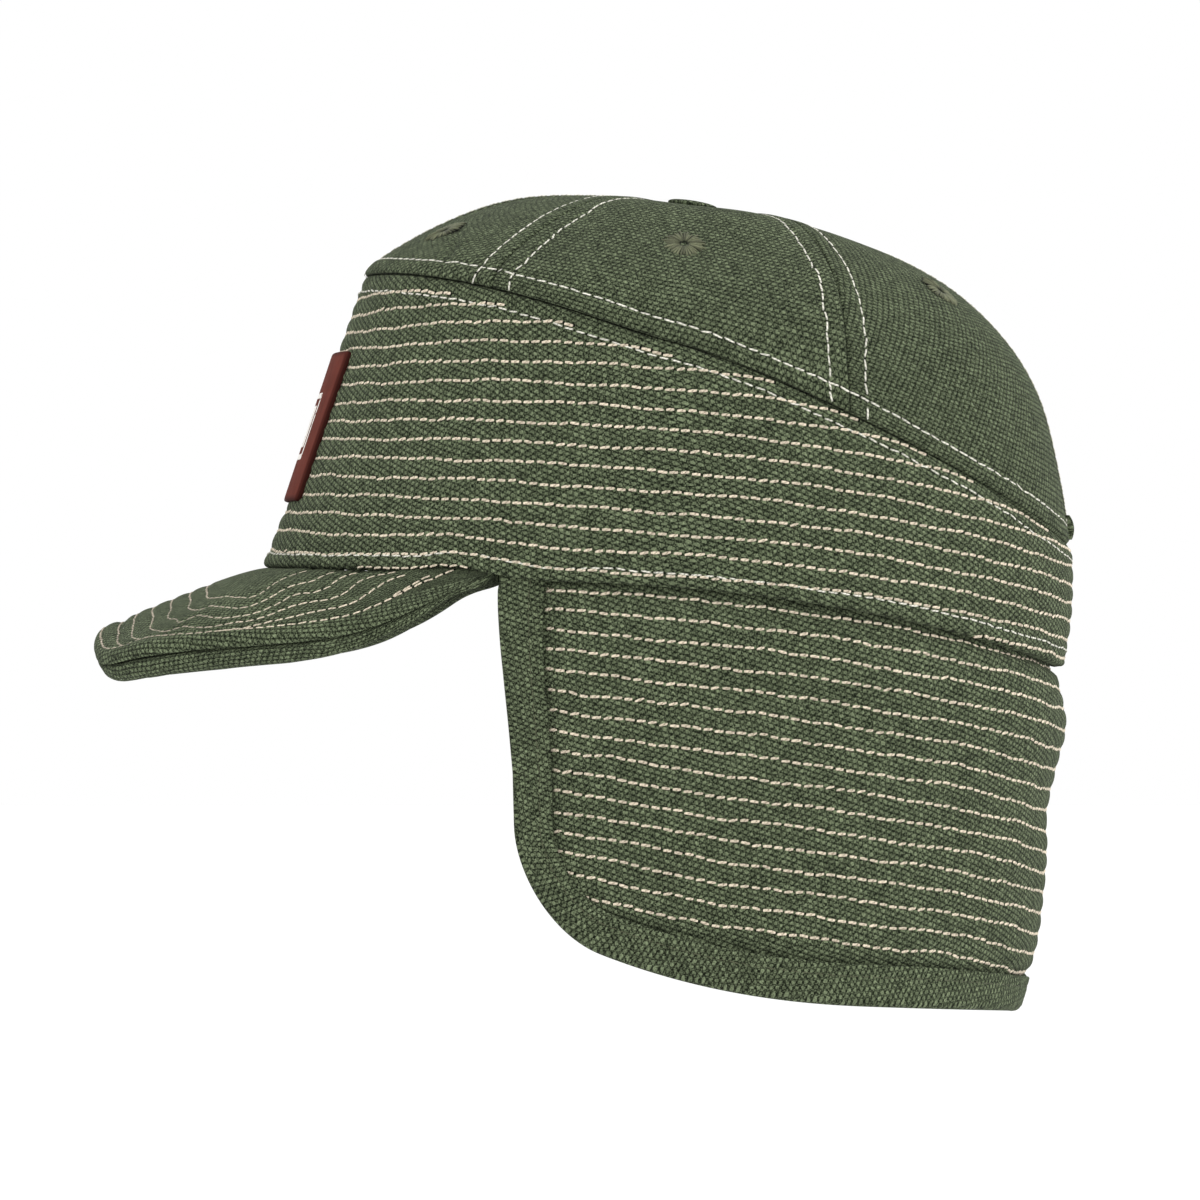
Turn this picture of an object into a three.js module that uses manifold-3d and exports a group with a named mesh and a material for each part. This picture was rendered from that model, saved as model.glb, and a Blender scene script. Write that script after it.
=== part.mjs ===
// Work hat: a canvas cap of six panels with a wide quilted band, a short quilted peak and a
// quilted neck flap, in the form that it has when it is worn.
//
// Millimetres, +Z up. The origin is the middle of the head opening. The peak points along -Y and
// the wearer's left is +X. Angles round the hat run from 0 at the front through 90 degrees at the
// wearer's left to 180 degrees at the back.

import * as THREE from 'three';
import { mergeVertices } from 'three/addons/utils/BufferGeometryUtils.js';
import Module from 'manifold-3d';

const wasm = await Module();
wasm.setup();

// Clearance between two pieces that are sewn together
const SEWN_GAP = 0.3;

// Plan of the head opening: a squared ellipse whose half sizes change with the height
const SQUARENESS = 2.25;
const HALF_WIDTH = 84.5;
const SIDE_ROUND = 0.0018;
const FRONT_REACH = 105.4;
const FRONT_LEAN = 0.333;
const BACK_REACH = 102.6;
const BACK_ROUND = 0.0055;
const BACK_WIDEST_AT = 2;

// Heights round the hat: mean + tilt cos(angle) + arch cos(2 angle) + skew cos(3 angle)
const BAND_EDGE = { mean: -3.3, tilt: 12.3, arch: -3.75, skew: 0.4 };
const CROWN_SEAM = { mean: 53.2, tilt: 34.5, arch: -7.45, skew: 0 };

// Quilted band
const BAND_WALL = 2.4;
const BAND_LIP_WALL = 1.8;
const BAND_LIP_HEIGHT = 6;
const BAND_EDGE_ROUND = { inset: 0.5, height: 1.2, topInset: 0.2 };
const BAND_MIDDLE_ROWS = [0.35, 0.68];
const BAND_COLUMNS = 72;

// Crown: six panels that rise from the band to the button
const APEX = { y: 5, z: 97.2 };
const CROWN_WALL = 1.5;
const CROWN_ROUND = { front: 1.69, back: 2.2 };
const CROWN_BULGE = { front: 6.6, side: 0, back: -1.5 };
const SEAM_BOW = { mean: 5.5, tilt: -8.3 };
const BACK_DENT = { depth: 1.7, at: 0.13, spread: 0.13 };
const PANEL_TOP = 0.97;
const PANEL_COLUMNS = 9;
const PANEL_ROWS = 9;
const PANELS = [
  { name: 'front_left', from: 0, to: 58.5, eyelet: { angle: 26.5, rise: 0.36 } },
  { name: 'side_left', from: 58.5, to: 115, eyelet: { angle: 88.5, rise: 0.465 } },
  { name: 'back_left', from: 115, to: 180, eyelet: { angle: 147.5, rise: 0.495 } },
  { name: 'back_right', from: 180, to: 245, eyelet: { angle: 212.5, rise: 0.495 } },
  { name: 'side_right', from: 245, to: 301.5, eyelet: { angle: 271.5, rise: 0.465 } },
  { name: 'front_right', from: 301.5, to: 360, eyelet: { angle: 333.5, rise: 0.36 } },
];

// Sewn eyelet: a ring of thread on the panel, with a short collar through the cloth
const EYELET = {
  radius: 5.5,
  bore: 0.9,
  collar: 1.7,
  crest: 1.2,
  seat: 0.4,
  cutRadius: 2.05,
  sides: 10,
};

// Covered button on the apex
const BUTTON = { radius: 6.3, height: 1.5, seat: 0.9, stem: 1.8, stemLength: 2.6, tilt: 9, sides: 20 };

// Peak: a top cover and an under cover that meet in a groove along the edge
const PEAK_ANGLE = 66;
const PEAK_ROOT_INSET = 2.2;
const PEAK_TOP_WALL = 3.3;
const PEAK_UNDER_WALL = 6.2;
const PEAK_ARCH = { share: 0.038, lean: 0.6 };
const PEAK_EDGE_ROUND = 4.5;
const PEAK_EDGE_WALL = 0.5;
const PEAK_CORNER = { wall: 0.4, share: 0.3 };
const PEAK_COLUMNS = 24;
const PEAK_ROWS = [0, 0.25, 0.5, 0.72, 0.86, 0.94, 0.985, 1];
const PEAK_EDGE = [
  { across: 0, forward: 147, height: -13.9 },
  { across: 26, forward: 146, height: -16.4 },
  { across: 45, forward: 142.2, height: -20 },
  { across: 58, forward: 132, height: -18.9 },
  { across: 67, forward: 116, height: -16.7 },
  { across: 73, forward: 97, height: -14.8 },
  { across: 77, forward: 78, height: -11.4 },
  { across: 79.5, forward: 60, height: -4.8 },
  { across: 80, forward: 47, height: 1.6 },
];

// Neck flap: a padded sheet sewn behind the lip of the band. The table gives how far its outer face
// stands outside the edge of the band, at the back and at the sides, going down.
const FLAP_WALL = 2.4;
const FLAP_BOUND_WALL = 1.4;
const FLAP_FORM = [
  { depth: -6, back: -2.1, side: -2.1 },
  { depth: 0, back: -2.1, side: -2.1 },
  { depth: 5, back: 0.4, side: -0.9 },
  { depth: 15, back: 1.6, side: -0.4 },
  { depth: 25, back: -0.9, side: -1 },
  { depth: 37, back: -3.9, side: -2 },
  { depth: 47, back: -4.1, side: -2.6 },
  { depth: 59, back: -5.2, side: -3.3 },
  { depth: 71, back: -6.4, side: -4.1 },
  { depth: 87, back: -11.5, side: -5 },
  { depth: 110, back: -14, side: -6 },
];

// Cut of the flap, in the flat: distance back from its front edge, and height
const FLAP_FRONT_ANGLE = 70;
const FLAP_FRONT_SLANT = { slope: 0.06, below: -45 };
const FLAP_HEM = { height: -108, fall: 10, rise: 18, reach: 95, power: 2.4, corner: 22 };
const FLAP_BAND_ROWS = [-5, -0.3, 5, 15];
const FLAP_BOUND_COLUMNS = [4, 8];
const FLAP_FIRST_COLUMN = 80;
const FLAP_ROWS = 4;

// Bias binding folded over the free edge of the flap
const BINDING_WIDTH = 11.5;
const BINDING_WALL = 0.9;
const BINDING_FOLD = 0.8;
const BOUND_MARGIN = 2;
const BINDING_FRONT_STEPS = 4;
const BINDING_CORNER_STEPS = 8;

// Leather patch on the front of the band
const PATCH = { halfWidth: 31, bottom: 22.4, top: 58.7, wall: 1.2, columns: 12, rows: 4 };

// Cloth tab at the centre back, just above the seam of crown and band
const TAB = { halfWidth: 5, from: 0.012, to: 0.046, wall: 0.9, rim: 0.45 };

const CANVAS = { color: 0x4c523f, roughness: 0.95 };
const CANVAS_LIGHT = { color: 0x545a46, roughness: 0.95 };
const BIAS_TAPE = { color: 0x50563f, roughness: 0.92 };
const THREAD_GREEN = { color: 0x5b6048, roughness: 0.8 };
const LEATHER = { color: 0x6b3a30, roughness: 0.62 };

function radians(degrees) {
  return degrees * Math.PI / 180;
}

function signedPower(value, power) {
  return Math.sign(value) * Math.abs(value) ** power;
}

function heightRound(terms, angle) {
  const level = terms.mean + terms.tilt * Math.cos(angle);
  return level + terms.arch * Math.cos(2 * angle) + terms.skew * Math.cos(3 * angle);
}

// A point of a squared ellipse with its own half sizes
function planPoint(angle, halfWidth, front, back, height) {
  const across = signedPower(Math.sin(angle), 2 / SQUARENESS);
  const forward = signedPower(Math.cos(angle), 2 / SQUARENESS);
  const reach = forward > 0 ? front : back;
  return new THREE.Vector3(halfWidth * across, -reach * forward, height);
}

// A point of the band's face, or of a face set in from it
function bandPoint(angle, height, inset = 0) {
  const halfWidth = HALF_WIDTH - SIDE_ROUND * height ** 2 - inset;
  const front = FRONT_REACH - FRONT_LEAN * height - inset;
  const back = BACK_REACH - BACK_ROUND * (height - BACK_WIDEST_AT) ** 2 - inset;
  return planPoint(angle, halfWidth, front, back, height);
}

// A value between the rows of a table, on a smooth curve through them
function tableValue(rows, place, column, at) {
  let row = 0;
  while (row < rows.length - 2 && at > rows[row + 1][place]) {
    row += 1;
  }
  const before = rows[Math.max(row - 1, 0)];
  const start = rows[row];
  const end = rows[row + 1];
  const after = rows[Math.min(row + 2, rows.length - 1)];
  const span = end[place] - start[place];
  const share = THREE.MathUtils.clamp((at - start[place]) / span, 0, 1);
  const slopeIn = (end[column] - before[column]) / (end[place] - before[place]) * span;
  const slopeOut = (after[column] - start[column]) / (after[place] - start[place]) * span;
  const square = share ** 2;
  const cube = share ** 3;
  return start[column] * (2 * cube - 3 * square + 1) + slopeIn * (cube - 2 * square + share)
    + end[column] * (3 * square - 2 * cube) + slopeOut * (cube - square);
}

// The normal of a surface that is given as a function of two numbers
function surfaceNormal(surface, u, v, stepU, stepV) {
  const alongU = surface(u + stepU, v).sub(surface(u - stepU, v));
  const alongV = surface(u, v + stepV).sub(surface(u, v - stepV));
  return alongU.cross(alongV).normalize();
}

function solidVolume(points, faces) {
  let volume = 0;
  for (const [a, b, c] of faces) {
    volume += points[a].dot(points[b].clone().cross(points[c])) / 6;
  }
  return volume;
}

function toGeometry(points, faces) {
  const outward = solidVolume(points, faces) > 0;
  const index = faces.flatMap(([a, b, c]) => (outward ? [a, b, c] : [a, c, b]));
  const geometry = new THREE.BufferGeometry().setFromPoints(points);
  geometry.setIndex(index);
  geometry.computeVertexNormals();
  return geometry;
}

// A solid wall between two faces, each a grid of rows of points. A ring closes on its first row.
function wallGeometry(outer, inner, ring = false) {
  const rowCount = outer.length;
  const width = outer[0].length;
  const points = [...outer.flat(), ...inner.flat()];
  const innerStart = rowCount * width;
  const faces = [];
  const addQuad = (a, b, c, d) => faces.push([a, b, c], [a, c, d]);
  const steps = ring ? rowCount : rowCount - 1;
  for (let row = 0; row < steps; row += 1) {
    const here = row * width;
    const next = ((row + 1) % rowCount) * width;
    for (let column = 0; column < width - 1; column += 1) {
      const a = here + column;
      const b = next + column;
      addQuad(a, b, b + 1, a + 1);
      addQuad(innerStart + a, innerStart + a + 1, innerStart + b + 1, innerStart + b);
    }
    const last = width - 1;
    addQuad(here, innerStart + here, innerStart + next, next);
    addQuad(here + last, next + last, innerStart + next + last, innerStart + here + last);
  }
  if (!ring) {
    const lastRow = (rowCount - 1) * width;
    for (let column = 0; column < width - 1; column += 1) {
      const end = lastRow + column;
      addQuad(column, column + 1, innerStart + column + 1, innerStart + column);
      addQuad(end, innerStart + end, innerStart + end + 1, end + 1);
    }
  }
  return toGeometry(points, faces);
}

function pieceMesh(name, geometry, finish) {
  const material = new THREE.MeshStandardMaterial({ ...finish, metalness: 0 });
  const mesh = new THREE.Mesh(geometry, material);
  mesh.name = name;
  return mesh;
}

// The solid of a closed geometry, for joins and cuts
function toManifold(geometry) {
  const bare = geometry.clone();
  bare.deleteAttribute('normal');
  bare.deleteAttribute('uv');
  const merged = mergeVertices(bare, 1e-4);
  return new wasm.Manifold(new wasm.Mesh({
    numProp: 3,
    vertProperties: new Float32Array(merged.attributes.position.array),
    triVerts: new Uint32Array(merged.index.array),
  }));
}

function fromManifold(solid) {
  const mesh = solid.getMesh();
  const geometry = new THREE.BufferGeometry();
  geometry.setAttribute('position', new THREE.BufferAttribute(mesh.vertProperties, 3));
  geometry.setIndex(new THREE.BufferAttribute(mesh.triVerts, 1));
  geometry.computeVertexNormals();
  return geometry;
}

// Crown

// A point of the crown's face: rise runs from 0 at the band to 1 at the apex
function crownPoint(angle, rise) {
  const frontness = (1 + Math.cos(angle)) / 2;
  const backness = 1 - frontness;
  const base = bandPoint(angle, heightRound(CROWN_SEAM, angle));
  const roundness = CROWN_ROUND.back + (CROWN_ROUND.front - CROWN_ROUND.back) * frontness;
  const turn = rise * Math.PI / 2;
  const spread = Math.max(Math.cos(turn), 0) ** (2 / roundness);
  const climb = Math.sin(turn) ** (2 / roundness);
  const bulge = CROWN_BULGE.front * frontness ** 2 + CROWN_BULGE.back * backness ** 2
    + CROWN_BULGE.side * 4 * frontness * backness;
  const bow = (SEAM_BOW.mean + SEAM_BOW.tilt * Math.cos(angle)) * Math.sin(angle) ** 2;
  const dent = BACK_DENT.depth * backness ** 4
    * Math.exp(-(((rise - BACK_DENT.at) / BACK_DENT.spread) ** 2));
  return new THREE.Vector3(
    base.x * spread,
    APEX.y + (base.y - APEX.y) * spread + bow * Math.sin(Math.PI * spread) - dent,
    base.z + (APEX.z - base.z) * climb + bulge * Math.sin(Math.PI * (1 - spread)),
  );
}

function crownNormal(angle, rise) {
  const safeRise = THREE.MathUtils.clamp(rise, 0.03, 0.97);
  return surfaceNormal(crownPoint, angle, safeRise, 0.01, 0.01);
}

// The angle that is half a gap beside a panel seam, at a given rise
function seamAngle(angle, rise, side) {
  const point = crownPoint(angle, rise);
  const radius = Math.hypot(point.x, point.y - APEX.y);
  return angle + side * SEWN_GAP * 0.6 / radius;
}

function crownPanelGeometry(panel) {
  const outer = [];
  const inner = [];
  for (let row = 0; row <= PANEL_ROWS; row += 1) {
    const rise = PANEL_TOP * (row / PANEL_ROWS);
    const start = seamAngle(radians(panel.from), rise, 1);
    const end = seamAngle(radians(panel.to), rise, -1);
    const outerRow = [];
    const innerRow = [];
    for (let column = 0; column <= PANEL_COLUMNS; column += 1) {
      const angle = THREE.MathUtils.lerp(start, end, column / PANEL_COLUMNS);
      const point = crownPoint(angle, rise);
      const normal = crownNormal(angle, rise);
      point.z += row === 0 ? SEWN_GAP : 0;
      if (row === 0) {
        normal.setZ(0).normalize();
      }
      outerRow.push(point);
      innerRow.push(point.clone().addScaledVector(normal, -CROWN_WALL));
    }
    outer.push(outerRow);
    inner.push(innerRow);
  }
  return wallGeometry(outer, inner);
}

function eyeletPlace(panel) {
  const angle = radians(panel.eyelet.angle);
  const position = crownPoint(angle, panel.eyelet.rise);
  const normal = crownNormal(angle, panel.eyelet.rise);
  const rotation = new THREE.Quaternion().setFromUnitVectors(new THREE.Vector3(0, 1, 0), normal);
  return { position, rotation };
}

function makeCrownPanel(panel) {
  const place = eyeletPlace(panel);
  const cutter = new THREE.CylinderGeometry(EYELET.cutRadius, EYELET.cutRadius, 8, 12);
  cutter.applyQuaternion(place.rotation);
  cutter.translate(place.position.x, place.position.y, place.position.z);
  const cut = toManifold(crownPanelGeometry(panel)).subtract(toManifold(cutter));
  return pieceMesh(`crown_panel_${panel.name}`, fromManifold(cut), CANVAS_LIGHT);
}

function makeEyelet(panel) {
  const collarEnd = -CROWN_WALL - SEWN_GAP;
  const profile = [
    [EYELET.bore, collarEnd],
    [EYELET.collar, collarEnd],
    [EYELET.collar, EYELET.seat],
    [EYELET.radius * 0.94, EYELET.seat],
    [EYELET.radius, EYELET.seat + 0.25],
    [EYELET.radius * 0.88, EYELET.crest * 0.85],
    [EYELET.radius * 0.35, EYELET.crest],
    [EYELET.bore, EYELET.crest * 0.75],
    [EYELET.bore, collarEnd],
  ];
  const outline = profile.map(([radius, height]) => new THREE.Vector2(radius, height));
  const mesh = pieceMesh(
    `eyelet_${panel.name}`,
    new THREE.LatheGeometry(outline, EYELET.sides),
    THREAD_GREEN,
  );
  const place = eyeletPlace(panel);
  mesh.position.copy(place.position);
  mesh.quaternion.copy(place.rotation);
  return mesh;
}

function makeButton() {
  const rim = BUTTON.radius;
  const top = BUTTON.seat + BUTTON.height;
  const profile = [
    [0, BUTTON.seat - BUTTON.stemLength],
    [BUTTON.stem, BUTTON.seat - BUTTON.stemLength],
    [BUTTON.stem, BUTTON.seat],
    [rim * 0.92, BUTTON.seat],
    [rim, BUTTON.seat + BUTTON.height * 0.3],
    [rim * 0.93, BUTTON.seat + BUTTON.height * 0.62],
    [rim * 0.6, BUTTON.seat + BUTTON.height * 0.92],
    [0, top],
  ];
  const outline = profile.map(([radius, height]) => new THREE.Vector2(radius, height));
  const mesh = pieceMesh('crown_button', new THREE.LatheGeometry(outline, BUTTON.sides), CANVAS_LIGHT);
  mesh.rotation.x = radians(90 - BUTTON.tilt);
  mesh.position.set(0, APEX.y, APEX.z);
  return mesh;
}

// Band

function makeBand() {
  const outer = [];
  const inner = [];
  for (let column = 0; column < BAND_COLUMNS; column += 1) {
    const angle = 2 * Math.PI * column / BAND_COLUMNS;
    const low = heightRound(BAND_EDGE, angle);
    const high = heightRound(CROWN_SEAM, angle);
    const lipTop = low + BAND_LIP_HEIGHT;
    const heights = [low, low + BAND_EDGE_ROUND.height, lipTop, lipTop + 1];
    for (const share of BAND_MIDDLE_ROWS) {
      heights.push(THREE.MathUtils.lerp(heights[3], high, share));
    }
    heights.push(high);
    const last = heights.length - 1;
    const faceInset = heights.map((height, place) => (place === 0 ? BAND_EDGE_ROUND.inset : 0));
    const backInset = heights.map((height, place) => (place < 3 ? BAND_LIP_WALL : BAND_WALL));
    outer.push(heights.map((height, place) => bandPoint(angle, height, faceInset[place])));
    inner.push(heights.map((height, place) => bandPoint(angle, height, backInset[place])));
    outer[column][last].copy(bandPoint(angle, high, BAND_EDGE_ROUND.topInset));
  }
  return pieceMesh('quilted_band', wallGeometry(outer, inner, true), CANVAS);
}

// Peak

const peakEdgeCurve = new THREE.CatmullRomCurve3([
  ...PEAK_EDGE.slice(1).reverse().map((row) => new THREE.Vector3(-row.across, -row.forward, row.height)),
  ...PEAK_EDGE.map((row) => new THREE.Vector3(row.across, -row.forward, row.height)),
], false, 'centripetal');

// Share of the full thickness, less towards the two ends of the peak
function peakFullness(share) {
  const fromEnd = THREE.MathUtils.smoothstep(1 - Math.abs(share), 0, PEAK_CORNER.share);
  return THREE.MathUtils.lerp(PEAK_CORNER.wall, 1, fromEnd);
}

// A point of the face on which the two covers meet: share runs from -1 to 1 across, out from 0 to 1
function peakMiddle(share, out) {
  const angle = radians(PEAK_ANGLE) * share;
  const underBand = 2 * SEWN_GAP + PEAK_TOP_WALL * peakFullness(share);
  const rootHeight = heightRound(BAND_EDGE, angle) - underBand;
  const root = bandPoint(angle, heightRound(BAND_EDGE, angle), PEAK_ROOT_INSET).setZ(rootHeight);
  const edge = peakEdgeCurve.getPointAt(THREE.MathUtils.clamp((share + 1) / 2, 0, 1));
  const arch = PEAK_ARCH.share * root.distanceTo(edge) * Math.sin(Math.PI * out ** PEAK_ARCH.lean);
  return root.lerp(edge, out).setZ(rootHeight + (edge.z - rootHeight) * out + arch);
}

function peakNormal(share, out) {
  const safeShare = THREE.MathUtils.clamp(share, -0.98, 0.98);
  const safeOut = THREE.MathUtils.clamp(out, 0.02, 0.98);
  const normal = surfaceNormal(peakMiddle, safeShare, safeOut, 0.01, 0.01);
  return normal.z < 0 ? normal.negate() : normal;
}

// Thickness of a cover, rounded off towards the edge of the peak
function coverWall(share, out, wall) {
  const toEdge = peakMiddle(share, out).distanceTo(peakMiddle(share, 1));
  const near = THREE.MathUtils.clamp(1 - toEdge / PEAK_EDGE_ROUND, 0, 1);
  const full = wall * peakFullness(share) * Math.sqrt(1 - near ** 2);
  return Math.max(full, PEAK_EDGE_WALL);
}

function makePeakCover(name, wall, side) {
  const outer = [];
  const inner = [];
  for (let column = 0; column <= PEAK_COLUMNS; column += 1) {
    const share = -1 + 2 * column / PEAK_COLUMNS;
    const outerRow = [];
    const innerRow = [];
    for (const out of PEAK_ROWS) {
      const middle = peakMiddle(share, out);
      const normal = peakNormal(share, out).multiplyScalar(side);
      innerRow.push(middle.clone().addScaledVector(normal, SEWN_GAP / 2));
      outerRow.push(middle.clone().addScaledVector(normal, SEWN_GAP / 2 + coverWall(share, out, wall)));
    }
    outer.push(outerRow);
    inner.push(innerRow);
  }
  return pieceMesh(name, wallGeometry(outer, inner), CANVAS);
}

// Neck flap

// A point of the flap's outer face, set in by inset, at a depth below the edge of the band
function flapPoint(angle, depth, inset) {
  const edgeHeight = heightRound(BAND_EDGE, angle);
  const backness = Math.max(0, -Math.cos(angle)) ** 2;
  const side = tableValue(FLAP_FORM, 'depth', 'side', depth);
  const back = tableValue(FLAP_FORM, 'depth', 'back', depth);
  const shift = THREE.MathUtils.lerp(side, back, backness) - inset;
  const halfWidth = HALF_WIDTH - SIDE_ROUND * edgeHeight ** 2 + shift;
  const backHere = BACK_REACH - BACK_ROUND * (edgeHeight - BACK_WIDEST_AT) ** 2 + shift;
  const height = edgeHeight - depth;
  const frontHere = FRONT_REACH - FRONT_LEAN * Math.max(height, 0) + shift;
  return planPoint(angle, halfWidth, frontHere, backHere, height);
}

// Angle round the hat at a length along the edge of the band, counted from the centre back
function makeAngleAtLength() {
  const lengths = [0];
  const angles = [Math.PI];
  const step = radians(0.5);
  let last = flapPoint(Math.PI, 10, 0);
  while (angles[angles.length - 1] > step) {
    const angle = angles[angles.length - 1] - step;
    const point = flapPoint(angle, 10, 0);
    lengths.push(lengths[lengths.length - 1] + Math.hypot(point.x - last.x, point.y - last.y));
    angles.push(angle);
    last = point;
  }
  return {
    angleAt(length) {
      const index = Math.max(1, lengths.findIndex((value) => value >= length));
      const share = (length - lengths[index - 1]) / (lengths[index] - lengths[index - 1]);
      return THREE.MathUtils.lerp(angles[index - 1], angles[index], share);
    },
    lengthAt(angle) {
      const index = Math.max(1, angles.findIndex((value) => value <= angle));
      const share = (angles[index - 1] - angle) / (angles[index - 1] - angles[index]);
      return THREE.MathUtils.lerp(lengths[index - 1], lengths[index], share);
    },
  };
}

const bandEdgeRule = makeAngleAtLength();
const flapHalfLength = bandEdgeRule.lengthAt(radians(FLAP_FRONT_ANGLE));

// A point of the flap in the flat: side is 1 or -1, along is the distance back from its front edge
function flapFlatPoint(side, along, height, offset) {
  const above = Math.max(height - FLAP_FRONT_SLANT.below, 0);
  const slant = FLAP_FRONT_SLANT.slope * above * (1 - along / flapHalfLength);
  const angle = bandEdgeRule.angleAt(Math.max(flapHalfLength + slant - along, 0));
  const depth = heightRound(BAND_EDGE, angle) - height;
  const point = flapPoint(angle, depth, FLAP_WALL / 2 - offset);
  point.x *= side;
  return point;
}

// Distances back from the front edge at which the flap has a column beyond its bound front
function flapColumnPlaces() {
  const places = [];
  for (let angle = FLAP_FIRST_COLUMN; angle <= 180; angle += 360 / BAND_COLUMNS) {
    places.push(flapHalfLength - bandEdgeRule.lengthAt(radians(angle)));
  }
  return places;
}

// Height of the cut edge of the flap, or of a line set in from it, at a distance from its front edge
function hemHeight(along, inset = 0) {
  const left = Math.max(1 - along / FLAP_HEM.reach, 0);
  const fall = FLAP_HEM.fall * (1 - along / flapHalfLength);
  const rise = FLAP_HEM.rise * left ** FLAP_HEM.power + fall;
  const slope = FLAP_HEM.rise * FLAP_HEM.power / FLAP_HEM.reach * left ** (FLAP_HEM.power - 1);
  const radius = FLAP_HEM.corner - inset;
  const intoCorner = THREE.MathUtils.clamp(1 - (along - inset) / radius, 0, 1);
  const corner = radius * (1 - Math.sqrt(1 - intoCorner ** 2));
  return FLAP_HEM.height + inset * Math.hypot(1, slope) + rise + corner;
}

// Heights and half thicknesses of one column of the flap, from the top down
function flapColumn(along) {
  const angle = bandEdgeRule.angleAt(Math.max(flapHalfLength - along, 0));
  const bandEdge = heightRound(BAND_EDGE, angle);
  const boundLow = hemHeight(along, BINDING_WIDTH + BOUND_MARGIN);
  const heights = FLAP_BAND_ROWS.map((depth) => bandEdge - depth);
  const lastBandRow = heights[heights.length - 1];
  for (let row = 1; row <= FLAP_ROWS; row += 1) {
    heights.push(THREE.MathUtils.lerp(lastBandRow, boundLow + 1, row / FLAP_ROWS));
  }
  const fullRows = heights.length;
  heights.push(boundLow, hemHeight(along, BINDING_WALL + 2 * SEWN_GAP));
  const boundFront = along < BINDING_WIDTH + BOUND_MARGIN;
  return heights.map((height, row) => ({
    height,
    half: (boundFront || row >= fullRows ? FLAP_BOUND_WALL : FLAP_WALL) / 2,
  }));
}

function makeFlap() {
  const boundEdge = BINDING_WALL + 2 * SEWN_GAP;
  const fullEdge = BINDING_WIDTH + BOUND_MARGIN;
  const places = [boundEdge, ...FLAP_BOUND_COLUMNS, fullEdge - BOUND_MARGIN / 2, fullEdge];
  places.push(...flapColumnPlaces());
  const columns = [
    ...places.map((along) => ({ side: -1, along })),
    ...places.slice(0, -1).reverse().map((along) => ({ side: 1, along })),
  ];
  const face = (sign) => columns.map(({ side, along }) => flapColumn(along).map(
    ({ height, half }) => flapFlatPoint(side, along, height, sign * half),
  ));
  return pieceMesh('neck_flap', wallGeometry(face(1), face(-1)), CANVAS);
}

// The cut edge of one side of the flap in the flat, from the band round the corner to the centre
// back, with the direction that points into the cloth at each place
function flapEdgePath() {
  const edgeAngle = radians(FLAP_FRONT_ANGLE);
  const top = heightRound(BAND_EDGE, edgeAngle) - 2 * SEWN_GAP;
  const bandRows = FLAP_BAND_ROWS.slice(2).map((depth) => heightRound(BAND_EDGE, edgeAngle) - depth);
  const path = [{ along: 0, height: top }, { along: 0, height: bandRows[0] }];
  for (let step = 0; step < BINDING_FRONT_STEPS; step += 1) {
    const height = THREE.MathUtils.lerp(bandRows[1], hemHeight(0), step / BINDING_FRONT_STEPS);
    path.push({ along: 0, height });
  }
  for (let step = 0; step < BINDING_CORNER_STEPS; step += 1) {
    const turn = Math.PI / 2 * step / BINDING_CORNER_STEPS;
    const along = FLAP_HEM.corner * (1 - Math.cos(turn));
    path.push({ along, height: hemHeight(along) });
  }
  for (const along of flapColumnPlaces().filter((place) => place >= FLAP_HEM.corner)) {
    path.push({ along, height: hemHeight(along) });
  }
  const last = path.length - 1;
  const inwardEdge = bandEdgeRule.angleAt(flapHalfLength - BINDING_WIDTH);
  const topSlope = (heightRound(BAND_EDGE, inwardEdge) - top - 2 * SEWN_GAP) / BINDING_WIDTH;
  return path.map((here, step) => {
    const before = path[Math.max(step - 1, 0)];
    const after = path[Math.min(step + 1, last)];
    const run = Math.hypot(after.along - before.along, after.height - before.height);
    const inward = {
      along: (before.height - after.height) / run,
      height: (after.along - before.along) / run,
    };
    if (step === 0) {
      inward.height = topSlope;
    }
    if (step === last) {
      inward.along = 0;
      inward.height = 1;
    }
    return { ...here, inward };
  });
}

function makeBinding() {
  const face = FLAP_BOUND_WALL / 2 + SEWN_GAP;
  const back = face + BINDING_WALL;
  const outerSection = [
    { into: BINDING_WIDTH, offset: back },
    { into: BINDING_FOLD, offset: back },
    { into: 0, offset: face },
    { into: 0, offset: -face },
    { into: BINDING_FOLD, offset: -back },
    { into: BINDING_WIDTH, offset: -back },
  ];
  const innerSection = [
    { into: BINDING_WIDTH, offset: face },
    { into: BINDING_WALL + SEWN_GAP, offset: face },
    { into: BINDING_WALL, offset: face / 2 },
    { into: BINDING_WALL, offset: -face / 2 },
    { into: BINDING_WALL + SEWN_GAP, offset: -face },
    { into: BINDING_WIDTH, offset: -face },
  ];
  const path = flapEdgePath();
  const stations = [
    ...path.map((place) => ({ side: -1, place })),
    ...path.slice(0, -1).reverse().map((place) => ({ side: 1, place })),
  ];
  const section = (corners) => stations.map(({ side, place }) => corners.map(({ into, offset }) => {
    const along = place.along + place.inward.along * into;
    const height = place.height + place.inward.height * into;
    return flapFlatPoint(side, along, height, offset);
  }));
  const geometry = wallGeometry(section(outerSection), section(innerSection));
  return pieceMesh('flap_binding', geometry, BIAS_TAPE);
}

// Patch and tab

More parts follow.
